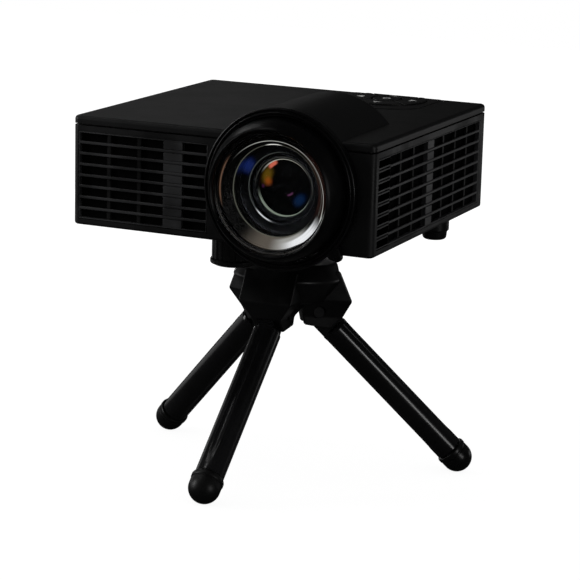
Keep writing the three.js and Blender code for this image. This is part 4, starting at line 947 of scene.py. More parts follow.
@dataclass
class Louvres:
    """The slatted grilles: thin bars across the face, upright bars behind, and grooved solid strips."""

    bottom: float = Case.opening_low
    border: float = 0.55
    rows: int = 8
    pitch: float = 3.82
    bar: float = 0.95
    skin: float = 0.8
    thickness: float = 1.7
    snug: float = 0.15
    groove: float = 0.14
    least_strip: float = 3.0
    front_columns: tuple[Pair, ...] = ((-53.5, -43.21), (-41.81, -31.52), (-30.12, -21.13), (-13.93, -4.75))
    side_columns: tuple[Pair, ...] = ((13.9, 24.47), (25.87, 36.44), (37.84, 48.41), (54.41, 64.98),
                                      (66.38, 76.95), (78.35, 88.92), (90.32, 100.89))

    def _high(self) -> float:
        """Works out the height of a grille's upper edge."""
        return self.bottom + self.rows * self.pitch - self.bar + 2 * self.border - self.snug

    def plate(self, start: float, end: float, columns: Sequence[Pair]) -> Sketch:
        """Draws a grille whose face lies at y = 0 and looks towards -y.

        Args:
            start: The opening's start along x.
            end: The opening's end along x.
            columns: The slot columns, from and to.

        Returns:
            The grille's shape.
        """
        sketch = Sketch()
        low, high = self.bottom + self.snug, self._high()
        left, right = start + self.snug, end - self.snug
        first = self.bottom + self.border
        edge = 0.16
        sketch.block((left, 0, low), (right, self.thickness, first), edge)
        sketch.block((left, 0, first + self.rows * self.pitch - self.bar), (right, self.thickness, high), edge)
        sketch.block((left, 0, low), (columns[0][0], self.thickness, high), edge)
        sketch.block((columns[-1][1], 0, low), (right, self.thickness, high), edge)
        for row in range(1, self.rows):
            top = first + row * self.pitch
            sketch.block((left, 0, top - self.bar), (right, self.skin, top), 0.2, 3)
        between = [(before, after) for (_, before), (after, _) in zip(columns, columns[1:])]
        for before, after in between + [(left, columns[0][0]), (columns[-1][1], right)]:
            if after - before > self.least_strip:
                self.strip(sketch, before, after, first)
        return sketch

    def uprights(self, columns: Sequence[Pair]) -> Sketch:
        """Draws the narrow upright bars behind the face, between neighbouring slot columns.

        Args:
            columns: The slot columns, from and to.

        Returns:
            The bars.
        """
        sketch = Sketch()
        for (_, before), (after, _) in zip(columns, columns[1:]):
            if after - before < self.least_strip:
                sketch.block((before, self.skin, self.bottom + self.snug),
                             (after, self.thickness, self._high()), 0.1)
        return sketch

    def screen(self, start: float, end: float) -> Sketch:
        """Draws a near-black sheet behind a grille, just inside the wall, as painted shade for the case's
        inside.
        """
        back = self.thickness + self.snug
        return Sketch().block((start + 0.4, back, self.bottom + 0.3), (end - 0.4, back + 0.2, 32.6), 0.05)

    def strip(self, sketch: Sketch, start: float, end: float, first: float) -> None:
        """Fills a solid strip with plates, leaving a fine groove above and below each bar.

        Args:
            sketch: The grille.
            start: The strip's start along x.
            end: The strip's end along x.
            first: The height at which the lowest slot starts.
        """
        sketch.block((start, self.skin * 0.6, first - 0.2), (end, self.thickness, first + 30.2), 0.05)
        for row in range(self.rows):
            low = first + row * self.pitch + (self.groove if row else 0)
            high = first + (row + 1) * self.pitch - self.bar - (self.groove if row < self.rows - 1 else 0)
            sketch.block((start, 0, low), (end, self.skin, high), 0.12)

    def build(self) -> None:
        """Builds the front grille and those at the sides, each with its upright bars, darkened as painted
        shade, and a near-black sheet of painted shade behind it.
        """
        start, end = Case.side_opening
        mirrored = [(-high, -low) for low, high in reversed(self.side_columns)]
        walls = {"front": (Case.front_opening, self.front_columns, 0),
                 "right": (Case.side_opening, self.side_columns, 1), "left": ((-end, -start), mirrored, -1)}
        order = [("louvre", "front"), ("louvre", "right")]
        order += [(kind, wall) for kind in ("uprights", "screen") for wall in walls] + [("louvre", "left")]
        for kind, wall in order:
            opening, columns, side = walls[wall]
            if kind == "louvre":
                shape, finish, node = self.plate(*opening, columns), LOUVRE, f"{wall}_grille"
            elif kind == "uprights":
                shape, finish, node = self.uprights(columns), UPRIGHT_SHADE, None
            else:
                shape, finish, node = self.screen(*opening), SHADE_SHEET, None
            shape.turn(90 * side, "Z").move(side * Case.width / 2)
            fit(f"{kind}_{wall}", shape, Place.PROJECTOR, "projector", finish, node)


@dataclass
class Keypad:
    """The keypad on the lid: its bezel, four direction keys round a centre key, and the power key."""

    x: float = 22.0
    y: float = 94.5
    half: float = 18.0
    back: float = 11.5
    front: float = 22.7
    corner: float = 1.6
    ledge: float = 1.2
    well_floor: float = 37.3
    top: float = 38.4
    key_top: float = 38.85
    key_bottom: float = 35.25
    outer: float = 14.6
    back_reach: float = 9.3
    centre: float = 5.2
    slit: float = 0.7
    power_x: float = -13.2
    power_y: float = -12.2

    def outline(self, inset: float, low: float, high: float) -> Solid:
        """Draws the pad's outline: straight sides and back, and a front edge round the centre key.

        Args:
            inset: How far inside the pad's edge it runs.
            low: Its lowest height.
            high: Its highest height.

        Returns:
            The pad.
        """
        half, back, front = self.half - inset, self.back - inset, self.front - inset
        pad = Solid(Sketch().tray((-half, -40, low), (half, back, high), self.corner, 0, 0))
        pad.common(Sketch().rod(front, low - 1, high + 1, 128))
        pad.move(self.x, self.y)
        return pad

    def _disc(self, radius: float, low: float, high: float, edge: float = 0.3) -> Sketch:
        """Draws a disc with a rounded top edge."""
        rim = arc(edge, 0, 90, 4, (radius - edge, high - edge))
        return Sketch().lathe([(0, low), (radius, low)] + rim + [(0, high)], 96)

    def _ring_mark(self, inner: float, outer: float, steps: int) -> Sketch:
        """Draws a thin printed ring on top of a key."""
        low, high = self.key_top - 0.1, self.key_top + 0.03
        return Sketch().lathe([(inner, low), (outer, low), (outer, high), (inner, high)], steps, True)

    def bezel(self) -> None:
        """Builds the gloss plate round the keys, with a sleeve through the lid."""
        plate = self.outline(0.15, self.well_floor, self.top)
        plate.soften(0.25, 3, 40, lambda p: p.z > self.top - 0.01)
        plate.join(self.outline(self.ledge + 0.15, self.well_floor - 1.1, self.well_floor + 0.5).sketch())
        reach = self.outer + 0.3
        well = Solid(self._disc(reach, self.well_floor - 3, self.top + 3))
        well.common(Sketch().block((-30, -30, 0), (30, self.back_reach + 0.3, 60)))
        well.move(self.x, self.y)
        plate.cut(well.sketch())
        power = self._disc(2.7, self.well_floor - 3, self.top + 3)
        plate.cut(power.move(self.x + self.power_x, self.y + self.power_y))
        fit("key_bezel", plate, Place.PROJECTOR, "projector", BEZEL, "keypad_bezel")

    def direction_key(self, name: str, turn: float) -> None:
        """Builds one quarter of the key round, with its triangle mark.

        Args:
            name: The key's node.
            turn: The bearing that it points to, in degrees.
        """
        key = Solid(Sketch().rod(self.outer, self.key_bottom, self.key_top))
        key.common(Sketch().block((-30, -30, 0), (30, self.back_reach, 60)))
        slit = self.slit / 2 * math.sqrt(2)
        wedge = Sketch().prism([(slit, 0), (slit + 30, -30), (slit + 30, 30)], 60).turn(90, "X").move(0, 0, 37)
        key.common(wedge.turn(turn, "Z"))
        key.cut(Sketch().rod(self.centre + self.slit, 30, 45, 72))
        key.soften(0.28, 3, 40, lambda p: p.z > self.key_top - 0.01)
        key.move(self.x, self.y)
        body = f"{name.removeprefix('key_')}_key"
        fit(f"{name}_cap", key, Place.PROJECTOR, body, KEY, name)
        mark = Sketch().prism([(1.7, 0), (-1.0, 1.6), (-1.0, -1.6)], 0.06).turn(90, "X")
        mark.move(7.6 if name == "key_up" else 10.2, 0, self.key_top).turn(turn, "Z").move(self.x, self.y)
        fit(f"{name}_mark", mark, Place.PROJECTOR, body, MARK)

    def build(self) -> None:
        """Builds the bezel and every key."""
        self.bezel()
        for name, turn in (("key_right", 0), ("key_up", 90), ("key_left", 180), ("key_down", -90)):
            self.direction_key(name, turn)
        enter = self._disc(self.centre, self.key_bottom, self.key_top, 0.4).move(self.x, self.y)
        fit("key_enter_cap", enter, Place.PROJECTOR, "enter_key", KEY, "key_enter")
        fit("key_enter_mark", self._ring_mark(1.1, 1.5, 48).move(self.x, self.y), Place.PROJECTOR, "enter_key",
            MARK)
        power = Sketch().lathe([(0, self.key_bottom), (2.9, self.key_bottom), (2.9, self.key_bottom + 0.8),
                                (2.4, self.key_bottom + 0.8)]
                               + arc(0.3, 0, 90, 4, (2.1, self.key_top - 0.3)) + [(0, self.key_top)], 64)
        there = self.x + self.power_x, self.y + self.power_y
        fit("key_power_cap", power.move(*there), Place.PROJECTOR, "power_key", KEY, "key_power")
        fit("key_power_mark", self._ring_mark(0.7, 1.0, 36).move(*there), Place.PROJECTOR, "power_key", MARK)


@dataclass
class LensUnit:
    """Everything on the lens axis. Heights are distances in front of the case's face."""

    ring: float = 27.5
    ring_bore: float = 24.5
    ring_front: float = 3.2
    nose: float = 24.2
    nose_front: float = 11.6
    nose_straight: float = 3.8
    rim: float = 22.0
    rim_bore: float = 20.6
    seat: float = 8.4
    seat_bore: float = 19.3
    lever: float = 31.3
    lever_tip: float = 1.7
    lever_turn: float = -44.0

    def focus_ring(self) -> None:
        """Builds the ridged ring with its lever."""
        width, front = self.ring - self.ring_bore, self.ring_front
        step = width * 0.17
        shares = [(0.25, 0), (0.33, 1), (0.43, 1), (0.53, 0), (0.67, 0), (0.77, 1), (1, 1)]
        profile = [(self.ring_bore, 0.3), (self.ring - step / 2, 0.3), (self.ring, 0.3 + step / 2),
                   (self.ring, front - step), (self.ring - step / 2, front - step / 4)]
        profile += [(self.ring - share * width, front - deep * 0.55) for share, deep in shares]
        ring = Sketch().lathe(rounded(profile, 0.3, 3, True), 160, True)
        outline = [(self.ring - 1.2, -2.8), (28.6, -2.4)]
        outline += arc(self.lever_tip, -80, 80, 8, (self.lever - self.lever_tip, 0))
        outline += [(28.6, 2.4), (self.ring - 1.2, 2.8)]
        tab = Sketch().prism(outline, 2.3, 0.35, 3).turn(90, "X").move(0, 0, 1.45)
        for groove in range(3):
            tab.block((28.5 + groove * 0.75, -1.3, 2.5), (28.8 + groove * 0.75, 1.3, 2.72), 0.1)
        tab.turn(self.lever_turn, "Z")
        solid = Solid(ring).join(tab)
        fit("ring_and_lever", solid, Place.LENS, "focus_control", RING_GLOSS, "focus_ring")

    def lens_nose(self) -> None:
        """Builds the outer barrel, curved in to its rim, with a fine groove round it."""
        lip = (self.rim - self.rim_bore) / 2
        run = self.nose_front - lip - self.nose_straight
        flank = [(self.nose - (self.nose - self.rim) * (i / 14) ** 2, self.nose_straight + run * i / 14)
                 for i in range(15)]
        grooves = [(self.nose, 1.6), (self.nose - 0.14, 1.7), (self.nose - 0.14, 1.9), (self.nose, 2.0)]
        profile = [(self.seat_bore, 0.9), (self.nose, 0.9)] + grooves + flank
        profile += [(self.rim - lip + 0.1, self.nose_front), (self.rim - lip - 0.25, self.nose_front - 0.05),
                    (self.rim_bore, self.nose_front - lip), (self.rim_bore, self.seat + 0.5)]
        profile += [(self.rim_bore - 0.15, self.seat), (self.seat_bore, self.seat)]
        nose = Sketch().lathe(rounded(profile, 0.12, 2, True), 160, True)
        fit("nose_barrel", nose, Place.LENS, "lens_barrel", NOSE_GLOSS, "lens_nose")

    def glass(self, name: str, at: float, radius: float, edge: float, crown: float, hollow: float,
              finish: Finish) -> None:
        """Builds a lens element with a crowned front, a hollowed back and a fine bevel round it.

        Args:
            name: The element's node.
            at: The height of its back edge.
            radius: Its radius.
            edge: Its thickness at the edge.
            crown: How far its front stands out at the middle.
            hollow: How far its back goes in at the middle.
            finish: Its finish.
        """
        front = [(radius * i / 24, at + edge + crown * (1 - (i / 24) ** 2)) for i in range(24)]
        rim = [(radius - 0.15, at + edge + 0.05), (radius, at + edge - 0.1), (radius, at + 0.1),
               (radius - 0.15, at)]
        back = [(radius * (1 - i / 24), at + hollow * (1 - (1 - i / 24) ** 2)) for i in range(1, 25)]
        fit(f"{name}_glass", Sketch().lathe(front + rim + back, 128), Place.LENS, "lens_barrel", finish,
            name)

    def barrel(self) -> None:
        """Builds the reflector behind the front glass, the stepped tube and the ring before the inner lens."""
        cone = [(15.3, 4.5), (19, 4.5), (19, 8.1), (18.7, 8.1), (18.4, 7.8)]
        cone += [(18.4 - 2.8 * (i / 10) ** 0.85, 7.8 - 2.7 * (i / 10)) for i in range(1, 10)]
        cone += [(15.6, 5.1), (15.3, 4.8)]
        fit("reflector", Sketch().lathe(cone, 144, True), Place.LENS, "lens_barrel", CONE,
            "reflector_cone")
        threads = [(15 + 0.12 * (i % 2), 3.9 - 0.35 * i) for i in range(1, 9)]
        tube = [(17.8, -33), (17.8, 0.9), (19, 0.9), (19, 4.2), (15, 4.2)] + threads
        tube += [(15, 0.9), (15, -0.4), (12.0, -0.4), (11.6, -0.7), (11.6, -8), (9.6, -8), (9.6, -33)]
        fit("stepped_tube", Sketch().lathe(tube, 128, True), Place.LENS, "lens_barrel", TUBE,
            "lens_tube")
        ring = [(9.3, -3.25), (11.3, -3.25), (11.3, -1.65), (10.0, -1.65), (9.7, -1.9), (9.3, -2.4)]
        fit("front_stop", Sketch().lathe(rounded(ring, 0.12, 2, True), 128, True), Place.LENS, "lens_barrel",
            APERTURE, "aperture_ring")

    def build(self) -> None:
        """Builds the whole lens."""
        self.focus_ring()
        self.lens_nose()
        self.glass("front_lens", 8.7, 20.3, 1.6, 2.6, 1.3, FRONT_GLASS)
        self.glass("middle_lens", -0.25, 14.7, 1.6, 0.8, 0.8, MIDDLE_GLASS)
        self.glass("inner_lens", -7.85, 11.3, 2.4, 1.6, 0.8, INNER_GLASS)
        self.barrel()


@dataclass
class CaseFeet:
    """The screw foot at the front and the two plain feet at the back, drawn from the case's underside."""

    grip: float = 7.9
    flange: float = 8.4
    ribs: int = 20

    def ribbed(self, radius: float, low: float, high: float, ribs: int, depth: float) -> Sketch:
        """Draws a round grip with rounded ribs and softened ends.

        Args:
            radius: The grip's radius over its ribs.
            low: Its lowest height.
            high: Its highest height.
            ribs: The number of ribs.
            depth: The depth between them.

        Returns:
            The grip.
        """
        edge = 0.35
        wall = [(0, low), (radius - edge, low), (radius, low + edge)]
        wall += [(radius, low + edge + (high - low - 2 * edge) * i / 6) for i in range(1, 6)]
        wall += [(radius, high - edge), (radius - edge, high), (0, high)]

        def rule(angle: float, r: float, z: float) -> float:
            """Lowers the surface between two ribs.

            Args:
                angle: The point's bearing.
                r: Its radius.
                z: Its height.

            Returns:
                Its new radius.
            """
            phase = (angle / (2 * math.pi) * ribs) % 1
            fall = max(0.0, math.cos(2 * math.pi * (phase - 0.75))) ** 0.7 if 0.5 < phase < 1 else 0.0
            return r - depth * fall if r > radius - 1 else r

        return Sketch().lathe(wall, ribs * 12).pinch(rule)

    def build(self) -> None:
        """Builds the three feet and the screw of the front one."""
        foot = Solid(self.ribbed(self.grip, -8.3, -0.3, self.ribs, 0.4))
        foot.join(Sketch().lathe([(0, -10.5), (6.4, -10.5), (7, -10.35), (8.25, -9.75), (self.flange, -9.5),
                                  (self.flange, -8.45), (8.1, -8.1), (0, -8.0)], 96))
        foot.cut(Sketch().rod(3.3, -9.7, 2, 48))
        place = Place.at(Place.PROJECTOR, *Case.foot_at)
        fit("foot_grip", foot, place, "foot_knob", RUBBER, "front_foot_knob")
        turns = [(3 - 0.22 * (i % 2), -8.6 + 0.42 * i) for i in range(40)]
        stem = [(0, -9.4), (2.8, -9.4), (3, -9.2)] + turns + [(2.8, 8.8), (0, 8.8)]
        fit("foot_screw", Sketch().lathe(stem, 48), place, "foot_thread", STEEL, "front_foot_stem")
        wall = [(0, 3.4), (1.6, 3.4), (1.6, -0.15), (5.2, -0.15), (5.2, -7), (4.6, -7.3), (4.37, -9.72),
                (3.68, -10.4), (0, -10.4)]
        for name, side in (("rear_foot_left", -1), ("rear_foot_right", 1)):
            fit(f"{name}_rubber", Sketch().lathe(rounded(wall, 0.4, 3), 72),
                Place.at(Place.PROJECTOR, side * 44.5, 90), "projector", RUBBER, name)


@dataclass
class BallHead:
    """The ball head: its cup, ribbed collar, ball, and the platform that the case is screwed to."""

    top: float = 77.006
    ball: float = 82.606
    lip: float = 84.806
    cup: float = 8.9
    collar: float = 11.4
    ball_radius: float = 6.0
    socket: float = 6.3
    drop: float = 11.5

    def build(self) -> None:
        """Builds the head from the hub upwards."""
        foot = self.top + 0.3
        cup = Solid(Sketch().lathe(rounded([
            (0, self.top - 4), (4.6, self.top - 4), (4.6, foot), (self.collar, foot), (self.collar, foot + 1.3),
            (self.cup, foot + 1.3), (self.cup, self.lip - 0.6), (self.cup - 0.6, self.lip),
            (0, self.lip)], 0.35), 96))
        cup.cut(Sketch().ball(self.socket, (0, 0, self.ball)))
        fit("cup", cup, Place.TRIPOD, "head_cup", STAND, "ball_cup")
        low, high = foot + 1.6, self.lip - 1
        collar = Solid(CaseFeet().ribbed(self.collar, low, high, 24, 0.5))
        collar.cut(Sketch().rod(self.cup + 0.3, 60, 99))
        fit("collar", collar, Place.TRIPOD, "head_collar", STAND, "lock_collar")
        centre = Place.at(Place.PROJECTOR, *Case.bush_at)
        ball = Sketch().ball(self.ball_radius, (0, 0, -self.drop))
        fit("ball_joint", ball, centre, "head_ball", PIN, "ball")
        platform = Solid(Sketch().lathe(rounded([
            (0, -self.drop), (3.1, -self.drop), (3.1, -4.7), (7.2, -4.7), (12, -3.7), (12, -1.7),
            (0, -1.7)], 0.4), 96))
        platform.cut(Sketch().rod(3.25, -3.35, 2, 48))
        platform.cut(Sketch().ball(self.socket, (0, 0, -self.drop)))
        fit("platform", platform, centre, "projector", STAND, "tripod_platform")
        pad = rounded([(3.4, -1.55), (11.4, -1.55), (11.4, -0.15), (3.4, -0.15)], 0.3, 3, True)
        fit("platform_rubber", Sketch().lathe(pad, 96, True), centre, "projector", RUBBER,
            "platform_pad")
        turns = [(3.1 - 0.25 * (i % 2), -3.1 + 0.4 * i) for i in range(21)]
        screw = [(0, -3.2), (3.1, -3.2)] + turns + [(2.8, 5.6), (0, 5.6)]
        fit("platform_screw", Sketch().lathe(screw, 48), centre, "projector", STEEL, "tripod_screw")
        bush = [(3.6, 1.95), (6, 1.95), (6, 7.35), (3.6, 7.35)]
        fit("threaded_bush", Sketch().lathe(rounded(bush, 0.3, 3, True), 72, True), centre, "projector", BRASS,
            "tripod_bush")


@dataclass
class Tripod:
    """The tripod's hub with its three arms, and the legs that fold into them."""

    pivot: float = Place.PIVOT_Z
    top: float = BallHead.top
    rim: float = 71.006
    bottom: float = 62.606
    top_radius: float = 17.0
    rim_radius: float = 20.2
    bottom_radius: float = 14.6
    arm_top: float = 74.406
    shoulder: float = 63.506
    toe: float = 57.206
    arm_bottom: float = 52.606
    reach: float = 22.4
    top_reach: float = 17.3
    spread: float = Place.SPREAD
    bore: float = 1.65
    head_bore: float = 2.45

    def drum(self) -> Solid:
        """Draws the drum, widest at its rim, with three flats above the arms.

        Returns:
            The drum.
        """
        wall = [(0, self.bottom), (self.bottom_radius, self.bottom), (self.rim_radius, self.rim),
                (self.top_radius, self.top), (0, self.top)]
        drum = Solid(Sketch().lathe(rounded(wall, 0.9, 4), 120))
        for number in range(3):
            flat = [(self.top_reach, self.top + 2), (self.top_reach, self.arm_top), (self.reach, self.shoulder),
                    (40, self.shoulder), (40, self.top + 2)]
            drum.cut(Sketch().prism(flat, 60).turn(120 * number, "Z"))
        return drum

    def arm(self) -> Solid:
        """Draws an arm as seen from the side, narrowed to its toe as seen from the front.

        Returns:
            The arm.
        """
        side = [(6, self.arm_top), (self.top_reach, self.arm_top), (self.reach, self.shoulder),
                (20.2, self.toe), (15.4, self.arm_bottom), (6.1, self.pivot - 4.9), (4, self.bottom)]
        arm = Solid(Sketch().prism(side, 20))
        front = [(-10, 90), (-10, self.shoulder), (-5.5, self.toe), (-5.5, 40), (5.5, 40), (5.5, self.toe),
                 (10, self.shoulder), (10, 90)]
        arm.common(Sketch().prism(front, 120).turn(90, "Z"))
        return arm.soften(0.55, 3, 18)

    def slot(self) -> Sketch:
        """Draws the room that a leg's tongue sweeps from spread to folded.

        Returns:
            The room.
        """
        spread, room = math.radians(self.spread), 5.2
        swept = arc(room, self.spread, 180, 12)
        swept += [(-room, -25), (math.sin(spread) * 25 + math.cos(spread) * room,
                                 -math.cos(spread) * 25 + math.sin(spread) * room)]
        return Sketch().prism([(Place.PIVOT_X + r, self.pivot + z) for r, z in swept], 6.6)

    def _pin_rod(self, radius: float, start: float, end: float) -> Sketch:
        """Draws a round bar across the arm at the leg's pivot."""
        return Sketch().rod(radius, start, end, 40).turn(-90, "X").move(Place.PIVOT_X, 0, self.pivot)

    def hub(self) -> None:
        """Builds the drum and arms in one, with slots, pin bores and the head's socket."""
        hub, span = self.drum(), self.pin_span()
        for number in range(3):
            hub.join(self.arm().sketch().turn(120 * number, "Z"))
        for number in range(3):
            hub.cut(self.slot().turn(120 * number, "Z"))
            for radius, start, end in ((self.bore, -12, 12), (self.head_bore, span, 14),
                                       (self.head_bore, -14, -span)):
                hub.cut(self._pin_rod(radius, start, end).turn(120 * number, "Z"))
        hub.cut(Sketch().rod(4.9, self.top - 4.6, 90, 72))
        fit("hub", hub, Place.TRIPOD, "tripod_base", STAND, "tripod_hub", 26)

    def pin_span(self) -> float:
        """Works out half of a pin's length between its heads."""
        return 5.5 + 4.5 * (self.pivot - self.toe) / (self.shoulder - self.toe) - 1.3

    def pin(self, number: int, name: str) -> None:
        """Builds a hinge pin with rounded heads.

        Args:
            number: The arm's number.
            name: The leg's name.
        """
        span = self.pin_span()
        side = [(2.3, span + 0.15), (2.3, span + 0.85), (1.9, span + 1.15), (0, span + 1.15)]
        wall = [(0, -z) if r == 0 else (r, -z) for r, z in reversed(side)] + [(1.5, -span - 0.15)]
        wall += [(1.5, span + 0.15)] + side
        pin = Sketch().lathe(wall, 48).turn(-90, "X").move(Place.PIVOT_X, 0, self.pivot)
        fit(f"hinge_{name}", pin, Place.arm(number), "tripod_base", PIN, f"leg_pin_{name}")

    def leg(self, number: int, name: str) -> None:
        """Builds a fluted leg with its tongue, and the rubber foot on its end.

        Args:
            number: The arm's number.
            name: The leg's name.
        """
        radius, start, end = 5.1, 8.6, 73.3
        wall = [(0, start), (radius - 1.3, start), (radius - 0.5, start + 0.35), (radius, start + 1.2)]
        wall += [(radius, start + 1.6 + 5.2 * i) for i in range(11)]
        wall += [(radius, 68.5), (radius, end - 0.3), (radius - 0.3, end), (3, end), (3, end + 3), (0, end + 3)]

        def rule(angle: float, r: float, z: float) -> float:
            """Presses a shallow flute along the inner and outer side.

            Args:
                angle: The point's bearing.
                r: Its radius.
                z: Its height.

            Returns:
                Its new radius.
            """
            away = min(abs(angle), math.pi - abs(angle))
            share = max(0.0, 1 - (away / math.radians(15)) ** 2)
            fade = min(1.0, max(0.0, (z - start - 1.5) / 2), max(0.0, (68 - z) / 2))
            return r - 0.5 * share * fade if r > radius - 0.1 else r

        leg = Solid(Sketch().lathe(wall, 96).pinch(rule))
        tongue = arc(4.9, 180, 360, 16) + [(4.9, start + 1.5), (-4.9, start + 1.5)]
        leg.join(Sketch().prism(tongue, 6, 0.35, 2))
        leg.cut(Sketch().rod(self.bore, -6, 6, 36).turn(90, "X"))
        fit(f"leg_tube_{name}", leg, Place.leg(number), f"{name}_leg", LEG, f"leg_{name}")
        dome, centre = 5.6, 77.655
        wall = [(3.3, 73.5), (5.2, 73.5), (5.6, 73.7), (5.78, 74.1), (5.78, 75.1), (5.6, 75.45), (5.42, 75.6),
                (5.42, 75.85), (dome, 76.1), (dome, centre)] + arc(dome, 0, 90, 16, (0, centre))[1:]
        wall += [(0, 77.3), (3.1, 77.3), (3.3, 77.1)]
        foot = Sketch().lathe(wall, 96, True)
        spread, stand = math.radians(self.spread), dome - 0.15
        normal = (math.sin(spread), 0, math.cos(spread))
        foot.slice((normal[0] * stand, 0, centre + normal[2] * stand), normal)
        fit(f"foot_cap_{name}", foot, Place.leg(number), f"{name}_leg", RUBBER, f"rubber_foot_{name}")

    def build(self) -> None:
        """Builds the hub, then each leg with its pin and foot."""
        self.hub()
        for number, name in enumerate(("front", "right", "left")):
            self.pin(number, name)
            self.leg(number, name)


@dataclass
class BackPanel:
    """The panel at the back, with its sockets, window and vents."""

    depth: float = Case.depth
    thickness: float = 1.6

    def _rod(self, x: float, z: float, radius: float, start: float, end: float) -> Sketch:
        """Draws a round bar along the depth of the case."""
        return Sketch().rod(radius, start, end, 48).turn(-90, "X").move(x, 0, z)

    def panel(self) -> None:
        """Builds the plate with its openings."""
        back = self.depth - 0.15
        plate = Solid(Sketch().block((-45.85, back - self.thickness, 6.15), (45.85, back, 26.85), 0.3, 3))
        for x, z, width, height in ((27, 12.2, 15.2, 5.6), (3, 13, 14.4, 7.2)):
            w, h = width / 2 + 0.15, height / 2 + 0.15
            plate.cut(Sketch().block((x - w, 100, z - h), (x + w, 120, z + h), 0.4))
        for x, z, radius in ((-31, 12.6, 3.25), (-40, 13.2, 4.05), (38.5, 19.5, 2.95)):
            plate.cut(self._rod(x, z, radius, 100, 120))
        vents = Sketch()
        for i in range(6):
            x = -24 + 4 * i
            vents.block((x - 0.8, 100, 16.8), (x + 0.8, 120, 24.8), 0.6, 3)
        plate.cut(vents)
        fit("port_panel", plate, Place.PROJECTOR, "projector", SHELL, "rear_panel")

    def build(self) -> None:
        """Builds the panel and dresses what shows through it."""
        self.panel()
        window = Sketch().lathe(rounded([(0, 105.85), (2.8, 105.85), (2.8, 107.45), (0, 107.45)], 0.3), 48)
        fit("remote_lens", window.turn(-90, "X").move(38.5, 0, 19.5), Place.PROJECTOR, "projector", BEZEL,
            "remote_window")
        for node in ("hdmi_socket", "usb_socket"):
            dress(node, STEEL)
        for node in ("audio_jack", "power_jack"):
            dress(node, FAN)


class InsideParts:
    """What the case holds: CAD nodes that stay and get their finishes."""

    FINISHES = {
        "main_board": BOARD, "key_board": BOARD, "imaging_chip": CHIP, "optical_engine": ENGINE,
        "heat_sink": ALUMINIUM, "fan_frame": FAN, "fan_rotor": FAN, "board_screw_left": STEEL,
        "board_screw_right": STEEL, "case_screw_left_front": STEEL, "case_screw_left_rear": STEEL,
        "case_screw_right_front": STEEL, "case_screw_right_rear": STEEL,
    }

    def build(self) -> None:
        """Dresses every node inside the case."""
        for node, finish in self.FINISHES.items():
            dress(node, finish)


# Studio


@dataclass(frozen=True)
class Lamp:
    """A soft lamp: where it hangs, how large it is and how bright it looks, where 1 is white paper."""

    name: str
    place: Point
    width: float
    height: float
    radiance: float


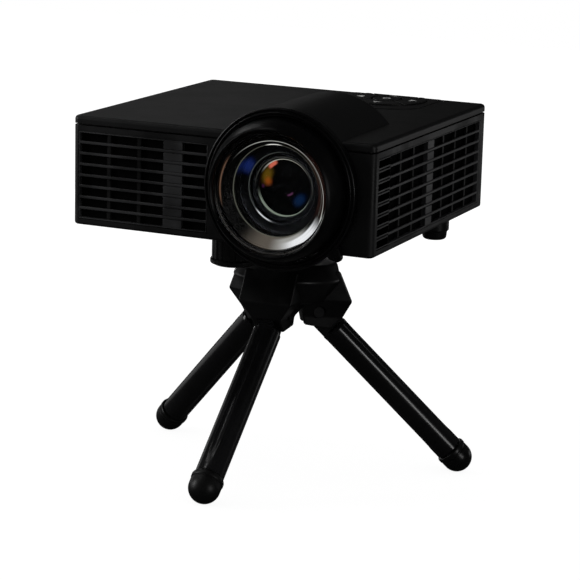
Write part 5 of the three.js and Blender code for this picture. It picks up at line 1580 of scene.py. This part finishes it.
@dataclass
class Studio:
    """The camera, the white surroundings, the floor and the lamps."""

    eye: Point = (0.330466, -0.739092, 0.189941)
    forward: Point = (-0.39493, 0.906435, -0.149678)
    right: Point = (0.91125, 0.407206, 0.061655)
    focal: float = 142.0
    sensor: float = 36.0
    target: Point = (0.0, 0.0, 0.075)
    sky: float = 0.7
    mirror_sky: float = 0.022
    floor_lit: Tint = (60, 60, 60)
    floor_seen: Tint = (96, 96, 96)
    glow_near: float = 0.93
    glow_far: float = 1.02
    fade: Pair = (0.15, 0.45)
    lamps: tuple[Lamp, ...] = (
        Lamp("overhead", (-0.56, 0.26, 0.60), 0.14, 0.26, 1.9),
        Lamp("behind", (-0.34, 0.47, 0.38), 0.28, 0.10, 0.30),
        Lamp("front_top", (-0.40, -0.25, 0.87), 0.09, 0.09, 8.0),
        Lamp("low_left", (-0.36, 0.08, 0.07), 0.30, 0.12, 0.4),
        Lamp("right_rear", (0.62, 0.30, 0.46), 0.045, 0.045, 2.2),
        Lamp("back_fill", (0.56, 0.86, 0.10), 0.26, 0.26, 1.0),
        Lamp("rear_low", (-0.42, 0.78, 0.03), 0.30, 0.14, 5.0),
        Lamp("right_front", (0.84, -0.36, 0.14), 0.12, 0.24, 7.5),
        Lamp("left_panel", (-0.58, -0.32, 0.26), 0.12, 0.34, 9.0),
    )

    def camera(self) -> None:
        """Puts the camera where the photograph was taken from."""
        data = bpy.data.cameras.new("camera")
        data.lens, data.sensor_width = self.focal, self.sensor
        data.clip_start = 0.01
        camera = bpy.data.objects.new("camera", data)
        bpy.context.scene.collection.objects.link(camera)
        forward, right = Vector(self.forward).normalized(), Vector(self.right).normalized()
        up = right.cross(forward)
        turn = Matrix((right, up, -forward)).transposed().to_4x4()
        camera.matrix_world = Matrix.Translation(self.eye) @ turn
        bpy.context.scene.camera = camera

    def world(self) -> None:
        """Hangs a sky that is white to the camera and through glass, and soft light for everything else."""
        world = bpy.data.worlds.new("surroundings")
        world.use_nodes = True
        bpy.context.scene.world = world
        tree = Tree(world.node_tree)
        background = find(world, "BACKGROUND")
        rays = tree.add("ShaderNodeLightPath")
        seen = tree.sum("MAXIMUM", rays.outputs["Is Camera Ray"], rays.outputs["Is Transmission Ray"])
        glossy = tree.sum("MULTIPLY", rays.outputs["Is Glossy Ray"], self.mirror_sky - self.sky)
        base = tree.sum("ADD", self.sky, glossy)
        strength = tree.sum("MAXIMUM", seen, base)
        background.inputs[0].default_value = (1, 1, 1, 1)
        tree.link(strength, background.inputs[1])

    def floor(self) -> None:
        """Lays a pale floor that keeps a faint shadow."""
        sketch = Sketch()
        bmesh.ops.create_grid(sketch.bm, x_segments=2, y_segments=2, size=4)
        mesh = bpy.data.meshes.new("floor")
        sketch.bm.to_mesh(mesh)
        sketch.bm.free()
        floor = bpy.data.objects.new("floor", mesh)
        bpy.context.scene.collection.objects.link(floor)
        material = bpy.data.materials.new("pale_floor")
        material.use_nodes = True
        tree = Tree(material.node_tree)
        shader = find(material, "BSDF_PRINCIPLED")
        seen = tree.add("ShaderNodeLightPath").outputs["Is Camera Ray"]
        shader.inputs["Roughness"].default_value = 1.0
        shader.inputs["Specular IOR Level"].default_value = 0.0
        color = tree.blend(seen, linear(self.floor_lit), linear(self.floor_seen))
        place = tree.add("ShaderNodeTexCoord").outputs["Object"]
        away = tree.add("ShaderNodeVectorMath", {0: place}, operation="LENGTH").outputs["Value"]
        white = tree.blend(tree.ramp(away, *self.fade), (*[self.glow_near] * 3, 1), (*[self.glow_far] * 3, 1))
        tree.link(color, shader.inputs["Base Color"])
        tree.link(tree.blend(seen, (0, 0, 0, 1), white), shader.inputs["Emission Color"])
        shader.inputs["Emission Strength"].default_value = 1.0
        mesh.materials.append(material)

    def light(self) -> None:
        """Hangs the lamps, each turned to the object."""
        for lamp in self.lamps:
            data = bpy.data.lights.new(lamp.name, "AREA")
            data.shape = "RECTANGLE"
            data.size, data.size_y = lamp.width, lamp.height
            data.energy = lamp.radiance * math.pi * lamp.width * lamp.height
            light = bpy.data.objects.new(lamp.name, data)
            bpy.context.scene.collection.objects.link(light)
            aim = (Vector(self.target) - Vector(lamp.place)).to_track_quat("-Z", "Y")
            light.matrix_world = Matrix.Translation(lamp.place) @ aim.to_matrix().to_4x4()

    def build(self) -> None:
        """Sets the whole studio up."""
        bpy.context.scene.view_settings.view_transform = "Standard"
        self.camera()
        self.world()
        self.floor()
        self.light()


def main() -> None:
    """Builds the studio and every sub-assembly."""
    logging.basicConfig(level=logging.INFO, format="%(name)s: %(message)s", stream=sys.stdout)
    for part in (Studio(), Case(), Louvres(), Keypad(), LensUnit(), CaseFeet(), BallHead(), Tripod(),
                 BackPanel(), InsideParts()):
        part.build()
        LOG.info("%s is done", type(part).__name__)


if __name__ == "__main__":
    main()
